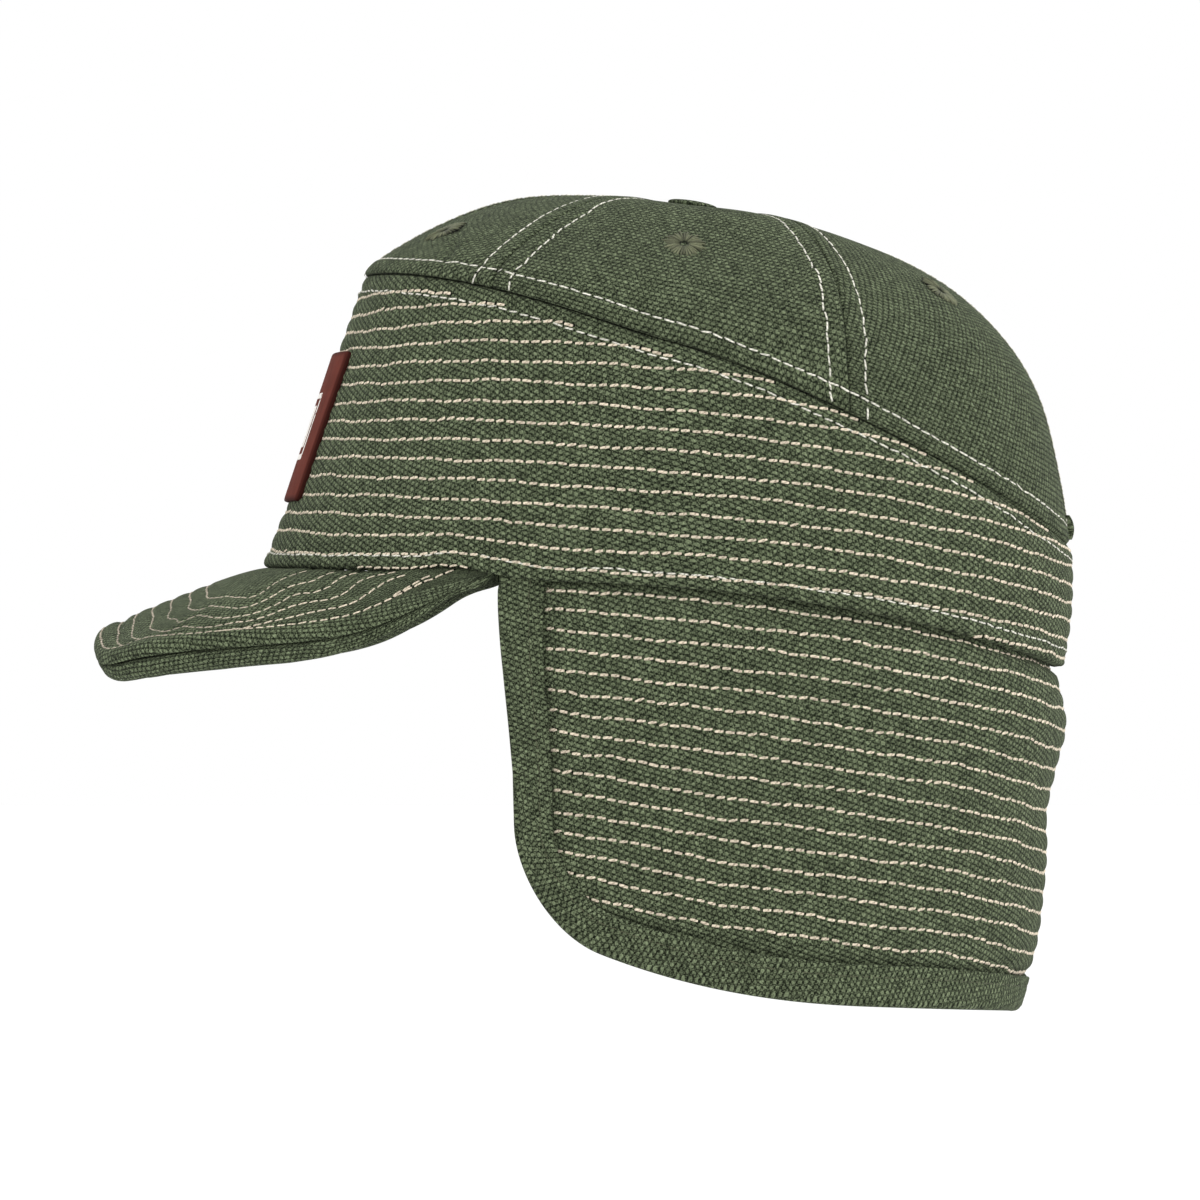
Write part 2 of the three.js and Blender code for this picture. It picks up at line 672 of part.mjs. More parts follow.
function makePatch() {
  const outer = [];
  const inner = [];
  for (let column = 0; column <= PATCH.columns; column += 1) {
    const across = THREE.MathUtils.lerp(-PATCH.halfWidth, PATCH.halfWidth, column / PATCH.columns);
    const outerRow = [];
    const innerRow = [];
    for (let row = 0; row <= PATCH.rows; row += 1) {
      const height = THREE.MathUtils.lerp(PATCH.bottom, PATCH.top, row / PATCH.rows);
      const halfWidth = HALF_WIDTH - SIDE_ROUND * height ** 2;
      const angle = Math.asin(signedPower(across / halfWidth, SQUARENESS / 2));
      innerRow.push(bandPoint(angle, height, -SEWN_GAP));
      outerRow.push(bandPoint(angle, height, -SEWN_GAP - PATCH.wall));
    }
    outer.push(outerRow);
    inner.push(innerRow);
  }
  return pieceMesh('front_patch', wallGeometry(outer, inner), LEATHER);
}

function makeTab() {
  const outer = [];
  const inner = [];
  for (const across of [-1, -0.85, 0, 0.85, 1]) {
    const outerRow = [];
    const innerRow = [];
    for (const up of [0, 0.2, 0.5, 0.8, 1]) {
      const crownFace = crownPoint(Math.PI, THREE.MathUtils.lerp(TAB.from, TAB.to, up));
      const rimmed = Math.abs(across) === 1 || up === 0 || up === 1;
      const wall = TAB.wall * (rimmed ? TAB.rim : 1);
      innerRow.push(new THREE.Vector3(TAB.halfWidth * across, crownFace.y + SEWN_GAP, crownFace.z));
      outerRow.push(new THREE.Vector3(TAB.halfWidth * across, crownFace.y + SEWN_GAP + wall, crownFace.z));
    }
    outer.push(outerRow);
    inner.push(innerRow);
  }
  return pieceMesh('back_tab', wallGeometry(outer, inner), CANVAS);
}

const hat = new THREE.Group();
hat.name = 'work_hat';

const crown = new THREE.Group();
for (const panel of PANELS) {
  crown.add(makeCrownPanel(panel));
  crown.add(makeEyelet(panel));
}
crown.add(makeButton());
hat.add(crown);

const band = new THREE.Group();
band.add(makeBand());
band.add(makePatch());
band.add(makeTab());
hat.add(band);

const peak = new THREE.Group();
peak.add(makePeakCover('peak_top', PEAK_TOP_WALL, 1));
peak.add(makePeakCover('peak_under', PEAK_UNDER_WALL, -1));
hat.add(peak);

const flap = new THREE.Group();
flap.add(makeFlap());
flap.add(makeBinding());
hat.add(flap);

export default hat;
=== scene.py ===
"""A canvas work hat with a quilted band, a quilted peak and a bound neck flap.

Sizes in the tables are in millimetres and become metres when a mesh is made. Angles round the hat
run from 0 at the front through a quarter turn at the wearer's left to a half turn at the back.
"""

import math

import bpy
import numpy as np
from bpy.props import FloatProperty, FloatVectorProperty, PointerProperty
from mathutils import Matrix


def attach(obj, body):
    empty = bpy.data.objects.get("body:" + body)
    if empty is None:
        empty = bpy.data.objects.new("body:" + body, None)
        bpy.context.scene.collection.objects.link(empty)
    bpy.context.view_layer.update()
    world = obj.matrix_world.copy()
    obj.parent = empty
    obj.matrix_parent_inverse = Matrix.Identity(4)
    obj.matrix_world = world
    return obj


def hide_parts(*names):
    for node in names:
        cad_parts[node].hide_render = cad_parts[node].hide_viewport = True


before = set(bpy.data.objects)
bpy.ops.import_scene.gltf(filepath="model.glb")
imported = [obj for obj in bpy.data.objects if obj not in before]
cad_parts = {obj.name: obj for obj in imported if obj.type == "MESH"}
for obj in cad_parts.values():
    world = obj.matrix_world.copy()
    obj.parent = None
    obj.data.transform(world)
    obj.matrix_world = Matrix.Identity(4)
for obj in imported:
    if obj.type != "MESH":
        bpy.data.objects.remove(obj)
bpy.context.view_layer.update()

bl_info = {
    "name": "Work hat",
    "version": (1, 0, 0),
    "blender": (4, 5, 0),
    "location": "3D View > Sidebar > Work hat",
    "description": "Builds a quilted canvas work hat with a peak and a neck flap",
    "category": "Object",
}

MM = 0.001
TURN = 2 * math.pi

# Form of the hat, close to that of the solid model
SQUARENESS = 2.25
HALF_WIDTH = 84.5
SIDE_ROUND = 0.0018
FRONT_REACH = 105.4
FRONT_LEAN = 0.333
BACK_REACH = 102.3
BACK_ROUND = 0.0055
BACK_WIDEST_AT = 2
BAND_EDGE = (-3.3, 12.3, -3.75, 0.4)
# Rounded rises and dips are written as height, middle and spread
BAND_EDGE_LIFT = (1.3, 60.5, 5.5)
BAND_EDGE_DIP = (0.8, 75, 7)
CROWN_SEAM = (53.2, 34.5, -7.45, 0)
BAND_WALL = 2.4
BAND_LIP_WALL = 1.8
BAND_LIP_HEIGHT = 6
APEX_Y = 5
APEX_Z = 97.2
CROWN_WALL = 1.3
CROWN_ROUND = {"front": 1.69, "back": 2.2}
CROWN_BULGE = {"front": 6.6, "back": -1.5}
SEAM_BOW = {"mean": 5.5, "tilt": -8.3}
BACK_DENT = {"depth": 1.7, "at": 0.13, "spread": 0.13}
# How much fuller the side panels are where they turn over to the flat top
SHOULDER = {"rise": 3.4, "at": 0.52, "spread": 0.2}
PANEL_TOP = 0.968
PANELS = (
    ("front_left", 0, 58.5, 26.5, 0.36),
    ("side_left", 58.5, 115, 88.5, 0.45),
    ("back_left", 115, 180, 147.5, 0.495),
    ("back_right", 180, 245, 212.5, 0.495),
    ("side_right", 245, 301.5, 271.5, 0.45),
    ("front_right", 301.5, 360, 333.5, 0.36),
)
BUTTON = {"radius": 6.3, "seat": 0.9, "height": 1.7, "tilt": 9}
PEAK_ANGLE = 68.5
PEAK_ROOT_INSET = 2.2
PEAK_TOP_WALL = 3.4
PEAK_UNDER_WALL = 5.6
PEAK_ARCH = {"share": 0.042, "lean": 0.55}
PEAK_EDGE_ROUND = {"top": 3.4, "under": 3.8}
PEAK_GROOVE = {"depth": 2.6, "mouth": 0.6}
PEAK_CORNER = {"wall": 0.16, "share": 0.3}
PEAK_ROOT_LIFT = {"height": (-0.6, 1.3), "share": (0.62, 0.92)}
# Steps from the rim to the top of its fold, in millimetres
PEAK_FOLD = (0, 0.012, 0.04, 0.09, 0.17, 0.28, 0.42, 0.6, 0.85, 1.15, 1.5, 2, 2.5, 3.1, 3.8, 4.6)
PEAK_TOP_COVER = {"least": 0.58, "thinner": (0.2, 0.945, 0.035), "fuller": (2.0, 0.58, 0.19), "less": 0.15}
PEAK_LIP = {"swell": 0.4, "fuller": (1.6, 0.81, 0.17)}
PEAK_EDGE = (
    (0, -147, -13.9),
    (26, -146, -16.4),
    (45, -142.2, -19.3),
    (58, -132, -17.3),
    (67, -116, -15.3),
    (73, -97, -13.9),
    (77, -78, -11),
    (79.5, -61, -4.2),
    (80, -50, 2),
)
FLAP_WALL = 2.4
FLAP_BOUND_WALL = 1.4
FLAP_TUCK = 5
# Depth below the band's edge, and how far the flap stands out there at the back and at the sides
FLAP_FORM = (
    (-6, -2.1, -2.1),
    (0, -2.1, -2.1),
    (5, -0.7, -0.9),
    (15, 0.7, -0.3),
    (25, -1.75, -0.9),
    (37, -4, -1.9),
    (47, -3.8, -2.5),
    (59, -5, -3.2),
    (71, -6.7, -4),
    (87, -11.3, -4.8),
    (110, -14, -6),
)
FLAP_FRONT_ANGLE = 70
FLAP_FRONT_SLANT = {"slope": 0.072, "below": -45}
FLAP_REACH_MORE = 0.7
FLAP_HEM = {"height": -108, "fall": 10, "rise": 18, "reach": 95, "power": 2.4, "corner": 22}
# Length along the edge from the top of the front, and how wide the binding shows there
BINDING_WIDTHS = ((0, 12), (25, 10.6), (60, 10.3), (190, 10.3), (235, 8.9), (300, 8.3))
BINDING_WALL = 0.9
PATCH = {"half_width": 29.6, "flare": 0.03, "bottom": 22.2, "top": 59.9, "wall": 1.3, "corner": 1.2}
TAB = {"half_width": 5, "from": 0.008, "to": 0.046, "wall": 1.7}

# Sewing
BAND_ROW_BASE = (1.277, 11.401, -2.119, 0.617)
BAND_ROW_PITCH = (4.813, -0.08, -0.26)
BAND_ROWS = range(-1, 16)
BAND_ROW_LIFT = (1.8, 61, 9)
BAND_ROW_DIP = (0.7, 77, 7)
BAND_ROW_FRONT = {"drop": 1.2, "from": 34, "to": 50}
BAND_ROW_FADE = 1.5
BAND_TOP_LINE = (3.5, 1.1)
BAND_WHITE_TOP = 4.6
BAND_WHITE_EDGE = 3.1
# Angle in degrees, depth of the flap's first row below the band's edge, and step between its rows
FLAP_ROW_TABLE = (
    (60, 2.6, 4.9),
    (77, 2.5, 4.97),
    (86, 2.5, 5.12),
    (95, 2.4, 5.33),
    (117, 2.1, 5.3),
    (131, 1.5, 5.2),
    (149, 0.6, 5.2),
    (180, 0.3, 5.2),
)
FLAP_ROW_COUNT = 16
FLAP_ROW_STEP = 5.2
# Rows of the peak: share of the way round its edge, in thousandths, and depth in from the edge in
# tenths of a millimetre, from the front to where the row ends
PEAK_ROWS = (
    ((0, 30), (180, 29), (270, 30), (305, 41), (330, 53), (352, 69), (380, 66), (412, 56), (460, 44),
     (510, 37), (600, 37), (700, 36), (750, 40), (785, 48), (815, 58), (840, 70), (870, 74), (895, 79)),
    ((0, 76), (120, 75), (200, 72), (270, 63), (315, 50)),
    ((0, 121), (120, 120), (220, 112), (300, 93), (345, 73)),
    ((0, 167), (110, 167), (243, 164), (310, 136), (359, 106), (400, 80), (418, 82), (428, 89),
     (447, 79), (480, 64), (503, 59), (535, 66), (567, 69), (589, 84), (606, 106), (625, 114),
     (650, 113), (675, 111), (689, 122), (688, 145), (685, 166), (700, 174), (730, 169), (752, 162)),
    ((0, 217), (118, 218), (230, 214), (300, 192), (345, 169), (395, 126), (402, 138), (409, 150),
     (440, 128), (476, 105), (502, 95), (545, 97), (560, 110), (568, 136), (571, 159), (590, 161),
     (612, 157), (624, 168), (619, 192), (615, 214), (623, 223), (640, 225)),
    ((0, 266), (159, 268), (257, 265), (320, 233), (357, 207), (383, 194), (390, 206), (407, 196),
     (449, 163), (483, 141), (510, 138), (522, 159), (522, 183), (520, 210), (527, 222), (555, 228),
     (550, 255), (556, 269), (572, 276)),
    ((0, 313), (155, 313), (257, 311), (316, 296), (356, 273), (381, 260), (436, 218), (466, 196),
     (476, 200), (470, 223), (456, 260), (447, 295), (443, 324), (448, 344), (456, 358)),
    ((540, 37), (580, 40), (595, 49), (610, 56), (643, 64), (680, 71), (720, 74), (738, 80), (747, 98),
     (754, 118), (765, 131), (790, 130)),
    ((812, 64), (828, 74), (840, 82), (853, 90)),
)
SEAM_TO_STITCH = 5
BAND_MEAN_RADIUS = 93.0
# Length and share of the waves in a hand-guided row
STRAY_WAVES = ((61, 1), (29, 0.6), (17, 0.45), (9.1, 0.3))
# The photo's width and focal length in pixels, and where the camera stood in metres
CAMERA = {"width": 1200, "focal": 7020, "place": (1.8, -0.0185, -0.0026)}
FLOOR_HALF = 9000
# Where no row or seam is near
FAR = 99.0
# How uneven and how tall the stitches are, in shares of their length or of the thread's width
STITCH = {"lean": 0.11, "shift": 0.1, "shortest": 0.84, "longest": 1.04, "half_height": 0.3}
NEEDLE_HOLE = {"half_length": 0.42, "half_width": 0.85, "lift": 0.09}
# Distance from the middle of an eyelet and height over the cloth, along a thread and round the base
EYELET_THREAD = ((0.75, -0.9), (0.9, 0.0), (1.5, 0.3), (3.2, 0.36), (4.6, 0.26), (5.4, 0.06), (5.7, -0.3))
# How much painted shade each ring of a thread takes: most in the hole and where it dives into the cloth
EYELET_THREAD_SHADE = (0.9, 0.6, 0.25, 0.05, 0.05, 0.2, 0.6)
EYELET_THREADS = 38
EYELET_BASE = ((0.0, -1.2), (0.8, -1.1), (0.95, -0.2), (1.8, 0.02), (4.2, 0.0), (5.0, -0.35), (0.0, -1.9))
# The way of the cloth's yarns in a crown panel, by the angle of its middle from the front
PANEL_GRAIN = ((30, 90, 150), (50, 16, 20))

random = np.random.default_rng(7)
ROW_PHASES = random.uniform(0, TURN, (64, 5))


def colour(title, about, value):
    return FloatVectorProperty(
        name=title, description=about, default=value, subtype="COLOR", size=3, min=0, max=1
    )


def measure(title, about, value):
    return FloatProperty(name=title, description=about, default=value, unit="LENGTH")


class HatSizes(bpy.types.PropertyGroup):
    """Sizes of the cloth and the sewing"""

    yarn_across: measure("Yarn width", "Distance between upright yarns of the canvas", 0.00138)
    yarn_up: measure("Yarn height", "Distance between level yarns of the canvas", 0.00076)
    quilt_depth: measure("Quilting depth", "How deep the rows pull into the padded cloth", 0.0006)
    stitch_pitch: measure("Quilting stitch", "Distance from one quilting stitch to the next", 0.00275)
    stitch_width: measure("Quilting thread", "Width of the heavy thread", 0.00086)
    topstitch_pitch: measure("Topstitch", "Distance from one topstitch to the next", 0.0031)
    topstitch_width: measure("Topstitch thread", "Width of the fine thread", 0.00046)
    floor_drop: measure("Height over the floor", "How far the floor lies below the head opening", 0.32)


class HatColours(bpy.types.PropertyGroup):
    """Colours of the cloth, thread and leather"""

    # Painted shade for the weave's gaps and low yarns, also used in needle holes and where green thread dives
    canvas_gap: colour("Canvas gap", "Shade between the yarns", (0.005, 0.007, 0.0035))
    canvas_weft: colour("Canvas level yarn", "Colour of the level yarns", (0.062, 0.077, 0.043))
    canvas_warp: colour("Canvas upright yarn", "Colour of the upright yarns", (0.098, 0.119, 0.069))
    thread_beige: colour("Quilting thread", "Colour of the heavy thread", (0.62, 0.54, 0.42))
    # Painted shade of the heavy thread where it dives into the cloth
    thread_dip: colour("Thread in the hole", "Heavy thread as it dives", (0.1, 0.068, 0.038))
    thread_white: colour("Topstitch thread", "Colour of the fine thread", (0.66, 0.64, 0.56))
    thread_green: colour("Green thread", "Binding and eyelet thread", (0.09, 0.097, 0.055))
    # Painted shade for the dark discs in the needle holes
    needle_hole: colour("Needle hole", "Shade in the needle holes", (0.004, 0.0045, 0.003))
    leather: colour("Leather", "Face of the patch", (0.105, 0.025, 0.017))
    leather_edge: colour("Leather edge", "Cut edge of the patch", (0.035, 0.009, 0.007))
    print_white: colour("Print", "Line printed on the patch", (0.72, 0.7, 0.66))
    floor: colour("Floor", "Floor of the studio", (0.8, 0.8, 0.8))


def sizes():
    return bpy.context.scene.work_hat_sizes


def colours():
    return bpy.context.scene.work_hat_colours


# Form


def radians(degrees):
    return np.asarray(degrees) * math.pi / 180


def signed_power(value, power):
    return np.sign(value) * np.abs(value) ** power


def blend(low, high, share):
    return low + (high - low) * share


def smooth(value, low, high):
    share = np.clip((value - low) / (high - low), 0, 1)
    return share * share * (3 - 2 * share)


def bell(value, at, spread):
    return np.exp(-(((value - at) / spread) ** 2))


def bump(form, value):
    """A rounded rise, by its height, its middle and its spread"""
    height, middle, spread = form
    return height * bell(value, middle, spread)


def height_round(terms, angle):
    mean, tilt, arch, skew = terms
    return mean + tilt * np.cos(angle) + arch * np.cos(2 * angle) + skew * np.cos(3 * angle)


def plan_point(angle, half_width, front, back, height):
    """A point of a squared ellipse with its own half sizes"""
    across = signed_power(np.sin(angle), 2 / SQUARENESS)
    forward = signed_power(np.cos(angle), 2 / SQUARENESS)
    reach = np.where(forward > 0, front, back)
    return np.stack(np.broadcast_arrays(half_width * across, -reach * forward, height), -1)


def band_point(angle, height, inset=0.0):
    half_width = HALF_WIDTH - SIDE_ROUND * height**2 - inset
    front = FRONT_REACH - FRONT_LEAN * height - inset
    back = BACK_REACH - BACK_ROUND * (height - BACK_WIDEST_AT) ** 2 - inset
    return plan_point(angle, half_width, front, back, height)


def side_degrees(angle):
    """How far round from the front, in degrees, the same on both sides"""
    return np.degrees(np.arccos(np.clip(np.cos(angle), -1, 1)))


def band_edge(angle):
    """Lower edge of the band: it lifts over the end of the peak and dips behind it"""
    side = side_degrees(angle)
    return height_round(BAND_EDGE, angle) + bump(BAND_EDGE_LIFT, side) - bump(BAND_EDGE_DIP, side)


def crown_point(angle, rise):
    frontness = (1 + np.cos(angle)) / 2
    backness = 1 - frontness
    base = band_point(angle, height_round(CROWN_SEAM, angle))
    roundness = blend(CROWN_ROUND["back"], CROWN_ROUND["front"], frontness)
    turn = np.clip(rise, 0, 1) * math.pi / 2
    spread = np.maximum(np.cos(turn), 0) ** (2 / roundness)
    climb = np.sin(turn) ** (2 / roundness)
    bulge = CROWN_BULGE["front"] * frontness**2 + CROWN_BULGE["back"] * backness**2
    bow = (SEAM_BOW["mean"] + SEAM_BOW["tilt"] * np.cos(angle)) * np.sin(angle) ** 2
    dent = BACK_DENT["depth"] * backness**4 * bell(rise, BACK_DENT["at"], BACK_DENT["spread"])
    across = base[..., 0] * spread
    back = APEX_Y + (base[..., 1] - APEX_Y) * spread + bow * np.sin(math.pi * spread) - dent
    up = base[..., 2] + (APEX_Z - base[..., 2]) * climb + bulge * np.sin(math.pi * (1 - spread))
    up = up + SHOULDER["rise"] * np.sin(angle) ** 8 * bell(spread, SHOULDER["at"], SHOULDER["spread"])
    return np.stack(np.broadcast_arrays(across, back, up), -1)


def running_length(grid, axis):
    """Length along the lines of a grid of points"""
    step = np.linalg.norm(np.diff(grid, axis=axis), axis=-1)
    return np.concatenate([np.zeros_like(np.take(step, [0], axis)), np.cumsum(step, axis)], axis)


def centripetal(knots, count):
    """Points spaced evenly along a smooth curve through the knots"""
    knots = np.asarray(knots, float)
    ends = np.concatenate([[2 * knots[0] - knots[1]], knots, [2 * knots[-1] - knots[-2]]])
    pieces = []
    for place in range(len(knots) - 1):
        four = ends[place : place + 4]
        steps = np.sqrt(np.linalg.norm(np.diff(four, axis=0), axis=1))
        t0, t1, t2, t3 = 0, steps[0], steps[0] + steps[1], steps.sum()
        t = np.linspace(t1, t2, 60)[:, None]
        a1 = (t1 - t) / (t1 - t0) * four[0] + (t - t0) / (t1 - t0) * four[1]
        a2 = (t2 - t) / (t2 - t1) * four[1] + (t - t1) / (t2 - t1) * four[2]
        a3 = (t3 - t) / (t3 - t2) * four[2] + (t - t2) / (t3 - t2) * four[3]
        b1 = (t2 - t) / (t2 - t0) * a1 + (t - t0) / (t2 - t0) * a2
        b2 = (t3 - t) / (t3 - t1) * a2 + (t - t1) / (t3 - t1) * a3
        pieces.append((t2 - t) / (t2 - t1) * b1 + (t - t1) / (t2 - t1) * b2)
    curve = np.concatenate(pieces)
    length = running_length(curve, 0)
    even = np.linspace(0, length[-1], count)
    return np.stack([np.interp(even, length, curve[:, axis]) for axis in range(3)], -1)


MIRRORED_EDGE = [(-x, y, z) for x, y, z in PEAK_EDGE[:0:-1]] + list(PEAK_EDGE)
PEAK_CURVE = centripetal(MIRRORED_EDGE, 801)
PEAK_CURVE_AT = np.linspace(-1, 1, 801)


def peak_edge(share):
    return np.stack([np.interp(share, PEAK_CURVE_AT, PEAK_CURVE[:, axis]) for axis in range(3)], -1)


def peak_fullness(share):
    return blend(PEAK_CORNER["wall"], 1, smooth(1 - np.abs(share), 0, PEAK_CORNER["share"]))


def peak_root(share):
    angle = radians(PEAK_ANGLE) * share
    edge_height = height_round(BAND_EDGE, angle)
    root = band_point(angle, edge_height, PEAK_ROOT_INSET)
    lift = blend(*PEAK_ROOT_LIFT["height"], smooth(np.abs(share), *PEAK_ROOT_LIFT["share"]))
    root[..., 2] = edge_height + lift - PEAK_TOP_WALL * peak_fullness(share)
    return root


def peak_middle(share, out):
    """A point of the face on which the two covers meet"""
    share, out = np.broadcast_arrays(share, out)
    root = peak_root(share)
    edge = peak_edge(share)
    run = np.linalg.norm(edge - root, axis=-1)
    arch = PEAK_ARCH["share"] * run * np.sin(math.pi * np.clip(out, 0, 1) ** PEAK_ARCH["lean"])
    point = blend(root, edge, out[..., None])
    point[..., 2] += arch
    return point


def peak_depth(share, out):
    """Distance in from the edge of the peak, square to it"""
    run = peak_edge(share) - peak_root(share)
    along = peak_edge(share + 0.004) - peak_edge(share - 0.004)
    along /= np.linalg.norm(along, axis=-1)[..., None]
    square = np.linalg.norm(np.cross(along, run), axis=-1)
    return (1 - out) * square


def flap_point(angle, depth, inset):
    edge_height = height_round(BAND_EDGE, angle)
    backness = np.maximum(0, -np.cos(angle)) ** 2
    shift = blend(table_value(FLAP_FORM, 2, depth), table_value(FLAP_FORM, 1, depth), backness)
    shift = shift - inset
    half_width = HALF_WIDTH - SIDE_ROUND * edge_height**2 + shift
    back = BACK_REACH - BACK_ROUND * (edge_height - BACK_WIDEST_AT) ** 2 + shift
    height = edge_height - depth
    front = FRONT_REACH - FRONT_LEAN * np.maximum(height, 0) + shift
    return plan_point(angle, half_width, front, back, height)


def table_value(table, column, at):
    """A smooth value between the rows of a table, by its first column"""
    rows = np.asarray(table, float)
    x, y = rows[:, 0], rows[:, column]
    slope = np.gradient(y, x)
    place = np.clip(np.searchsorted(x, at) - 1, 0, len(x) - 2)
    step = x[place + 1] - x[place]
    t = np.clip((at - x[place]) / step, 0, 1)
    low = (2 * t**3 - 3 * t**2 + 1) * y[place] + (t**3 - 2 * t**2 + t) * step * slope[place]
    high = (3 * t**2 - 2 * t**3) * y[place + 1] + (t**3 - t**2) * step * slope[place + 1]
    return low + high


def edge_rule():
    """Lengths along the band's edge from the centre back, and the angles there"""
    angles = np.linspace(math.pi, 0, 721)
    points = flap_point(angles, 10.0, 0.0)[:, :2]
    lengths = np.concatenate([[0], np.cumsum(np.linalg.norm(np.diff(points, axis=0), axis=1))])
    return lengths, angles


EDGE_LENGTHS, EDGE_ANGLES = edge_rule()
FLAP_HALF = FLAP_REACH_MORE + float(
    np.interp(-radians(FLAP_FRONT_ANGLE), -EDGE_ANGLES, EDGE_LENGTHS)
)


def flap_angle(along, height):
    """Angle round the hat of a place in the flat flap"""
    above = np.maximum(height - FLAP_FRONT_SLANT["below"], 0)
    slant = FLAP_FRONT_SLANT["slope"] * above * (1 - along / FLAP_HALF)
    return np.interp(np.maximum(FLAP_HALF + slant - along, 0), EDGE_LENGTHS, EDGE_ANGLES)


def flap_flat_point(place, height, offset):
    """A point of the flap; place is 0 at the centre back and negative on the wearer's left"""
    along = FLAP_HALF - np.abs(place)
    angle = flap_angle(along, height)
    depth = height_round(BAND_EDGE, angle) - height
    point = flap_point(angle, depth, FLAP_WALL / 2 - offset)
    point[..., 0] *= np.where(place > 0, -1, 1)
    return point


def hem_height(along, inset=0.0):
    left = np.maximum(1 - along / FLAP_HEM["reach"], 0)
    rise = FLAP_HEM["rise"] * left ** FLAP_HEM["power"] + FLAP_HEM["fall"] * (1 - along / FLAP_HALF)
    slope = FLAP_HEM["rise"] * FLAP_HEM["power"] / FLAP_HEM["reach"] * left ** (FLAP_HEM["power"] - 1)
    radius = FLAP_HEM["corner"] - inset
    into = np.clip(1 - (along - inset) / radius, 0, 1)
    corner = radius * (1 - np.sqrt(1 - into**2))
    return FLAP_HEM["height"] + inset * np.hypot(1, slope) + rise + corner


# Sewing lines and relief


def wander(row, along, reach):
    """How far a hand-guided row strays, the same way each time"""
    phases = ROW_PHASES[(np.asarray(row) + 8).astype(int) % len(ROW_PHASES)]
    stray = 0
    for place, (wave, share) in enumerate(STRAY_WAVES):
        stray = stray + share * np.sin(TURN * along / wave + phases[..., place])
    return reach * stray


def ripple(across, up, reach):
    """Soft unevenness of worn cloth"""
    one = np.sin(across / 13 + 1.3 * np.sin(up / 19)) * np.cos(up / 11 + 0.7)
    two = np.sin(across / 5.7 + 2.1) * np.cos(up / 7.9 + 1.1 * np.sin(across / 17))
    return reach * (one + 0.45 * two)


def channel(distance, half_pitch):
    """Height of padded cloth at a distance from the nearest row of stitches, from 0 to 1"""
    share = np.clip(distance / half_pitch, 0, 1)
    return 1 - (1 - share) ** 2.4


def fold_round(distance, radius):
    """How far a folded edge draws in, by the distance from the fold"""
    left = np.clip(1 - distance / radius, 0, 1)
    return radius * (1 - np.sqrt(1 - left**2))


def band_along(angle):
    return angle * BAND_MEAN_RADIUS


def band_row_height(row, angle):
    pitch = height_round((*BAND_ROW_PITCH, 0), angle)
    side = side_degrees(angle)
    front = 1 - smooth(side, BAND_ROW_FRONT["from"], BAND_ROW_FRONT["to"])
    low = bump(BAND_ROW_LIFT, side) - bump(BAND_ROW_DIP, side) - BAND_ROW_FRONT["drop"] * front
    low = low * np.exp(-np.maximum(row, 0) / BAND_ROW_FADE)
    height = height_round(BAND_ROW_BASE, angle) + row * pitch + low
    return height + wander(row, band_along(angle), 0.2)


def band_top_line(angle):
    """How high the rows may go: near the front they follow the fine line, farther back the seam"""
    side = side_degrees(angle)
    return height_round(CROWN_SEAM, angle) - blend(*BAND_TOP_LINE, smooth(side, 88, 104))


def band_relief(angle, height):
    depth = sizes().quilt_depth / MM
    pitch = BAND_ROW_PITCH[0]
    count = np.rint((height - height_round(BAND_ROW_BASE, angle)) / pitch)
    low = band_edge(angle)
    top = band_top_line(angle)
    nearest = np.abs(height - top)
    for near in (-1, 0, 1):
        row = np.clip(count + near, BAND_ROWS[0], BAND_ROWS[-1])
        line = band_row_height(row, angle)
        sewn = (line > low + 0.7) & (line < top)
        nearest = np.minimum(nearest, np.where(sewn, np.abs(height - line), FAR))
    relief = depth * (channel(nearest, pitch / 2) - 0.7)
    relief += 0.35 * bell(height - low, 1.6, 1.3) - fold_round(height - low, 1.0)
    relief += 0.9 * np.maximum(np.cos(angle), 0) ** 2 * (1 - smooth(height, 14, 26))
    under_seam = height_round(CROWN_SEAM, angle) - height
    relief -= fold_round(under_seam, 0.9) + 0.6 * (1 - smooth(under_seam, 0, 3))
    return relief + ripple(band_along(angle), height, 0.22)


def binding_width(length):
    table = np.asarray(BINDING_WIDTHS, float)
    return np.interp(length, table[:, 0], table[:, 1])


def inside_binding(place, height):
    """Distance from the inner edge of the binding, inward, in the flat flap"""
    along = FLAP_HALF - np.abs(place)
    front = along - binding_width(-height)
    hem = height - hem_height(along) - binding_width(100 + along) * 1.02
    corner = np.minimum(front, hem)
    bend = FLAP_HEM["corner"]
    middle = hem_height(np.full_like(along, bend)) + bend
    near = (along < bend) & (height < middle)
    away = bend - np.hypot(bend - along, middle - height) - binding_width(120.0)
    return np.where(near, np.minimum(corner, away), corner)


def flap_row_height(row, place):
    angle = flap_angle(FLAP_HALF - np.abs(place), -50.0)
    degrees = np.degrees(angle)
    table = np.asarray(FLAP_ROW_TABLE)
    first = np.interp(degrees, table[:, 0], table[:, 1])
    pitch = np.interp(degrees, table[:, 0], table[:, 2])
    line = height_round(BAND_EDGE, angle) - first - row * pitch
    return line + wander(row + 20, place, 0.22)


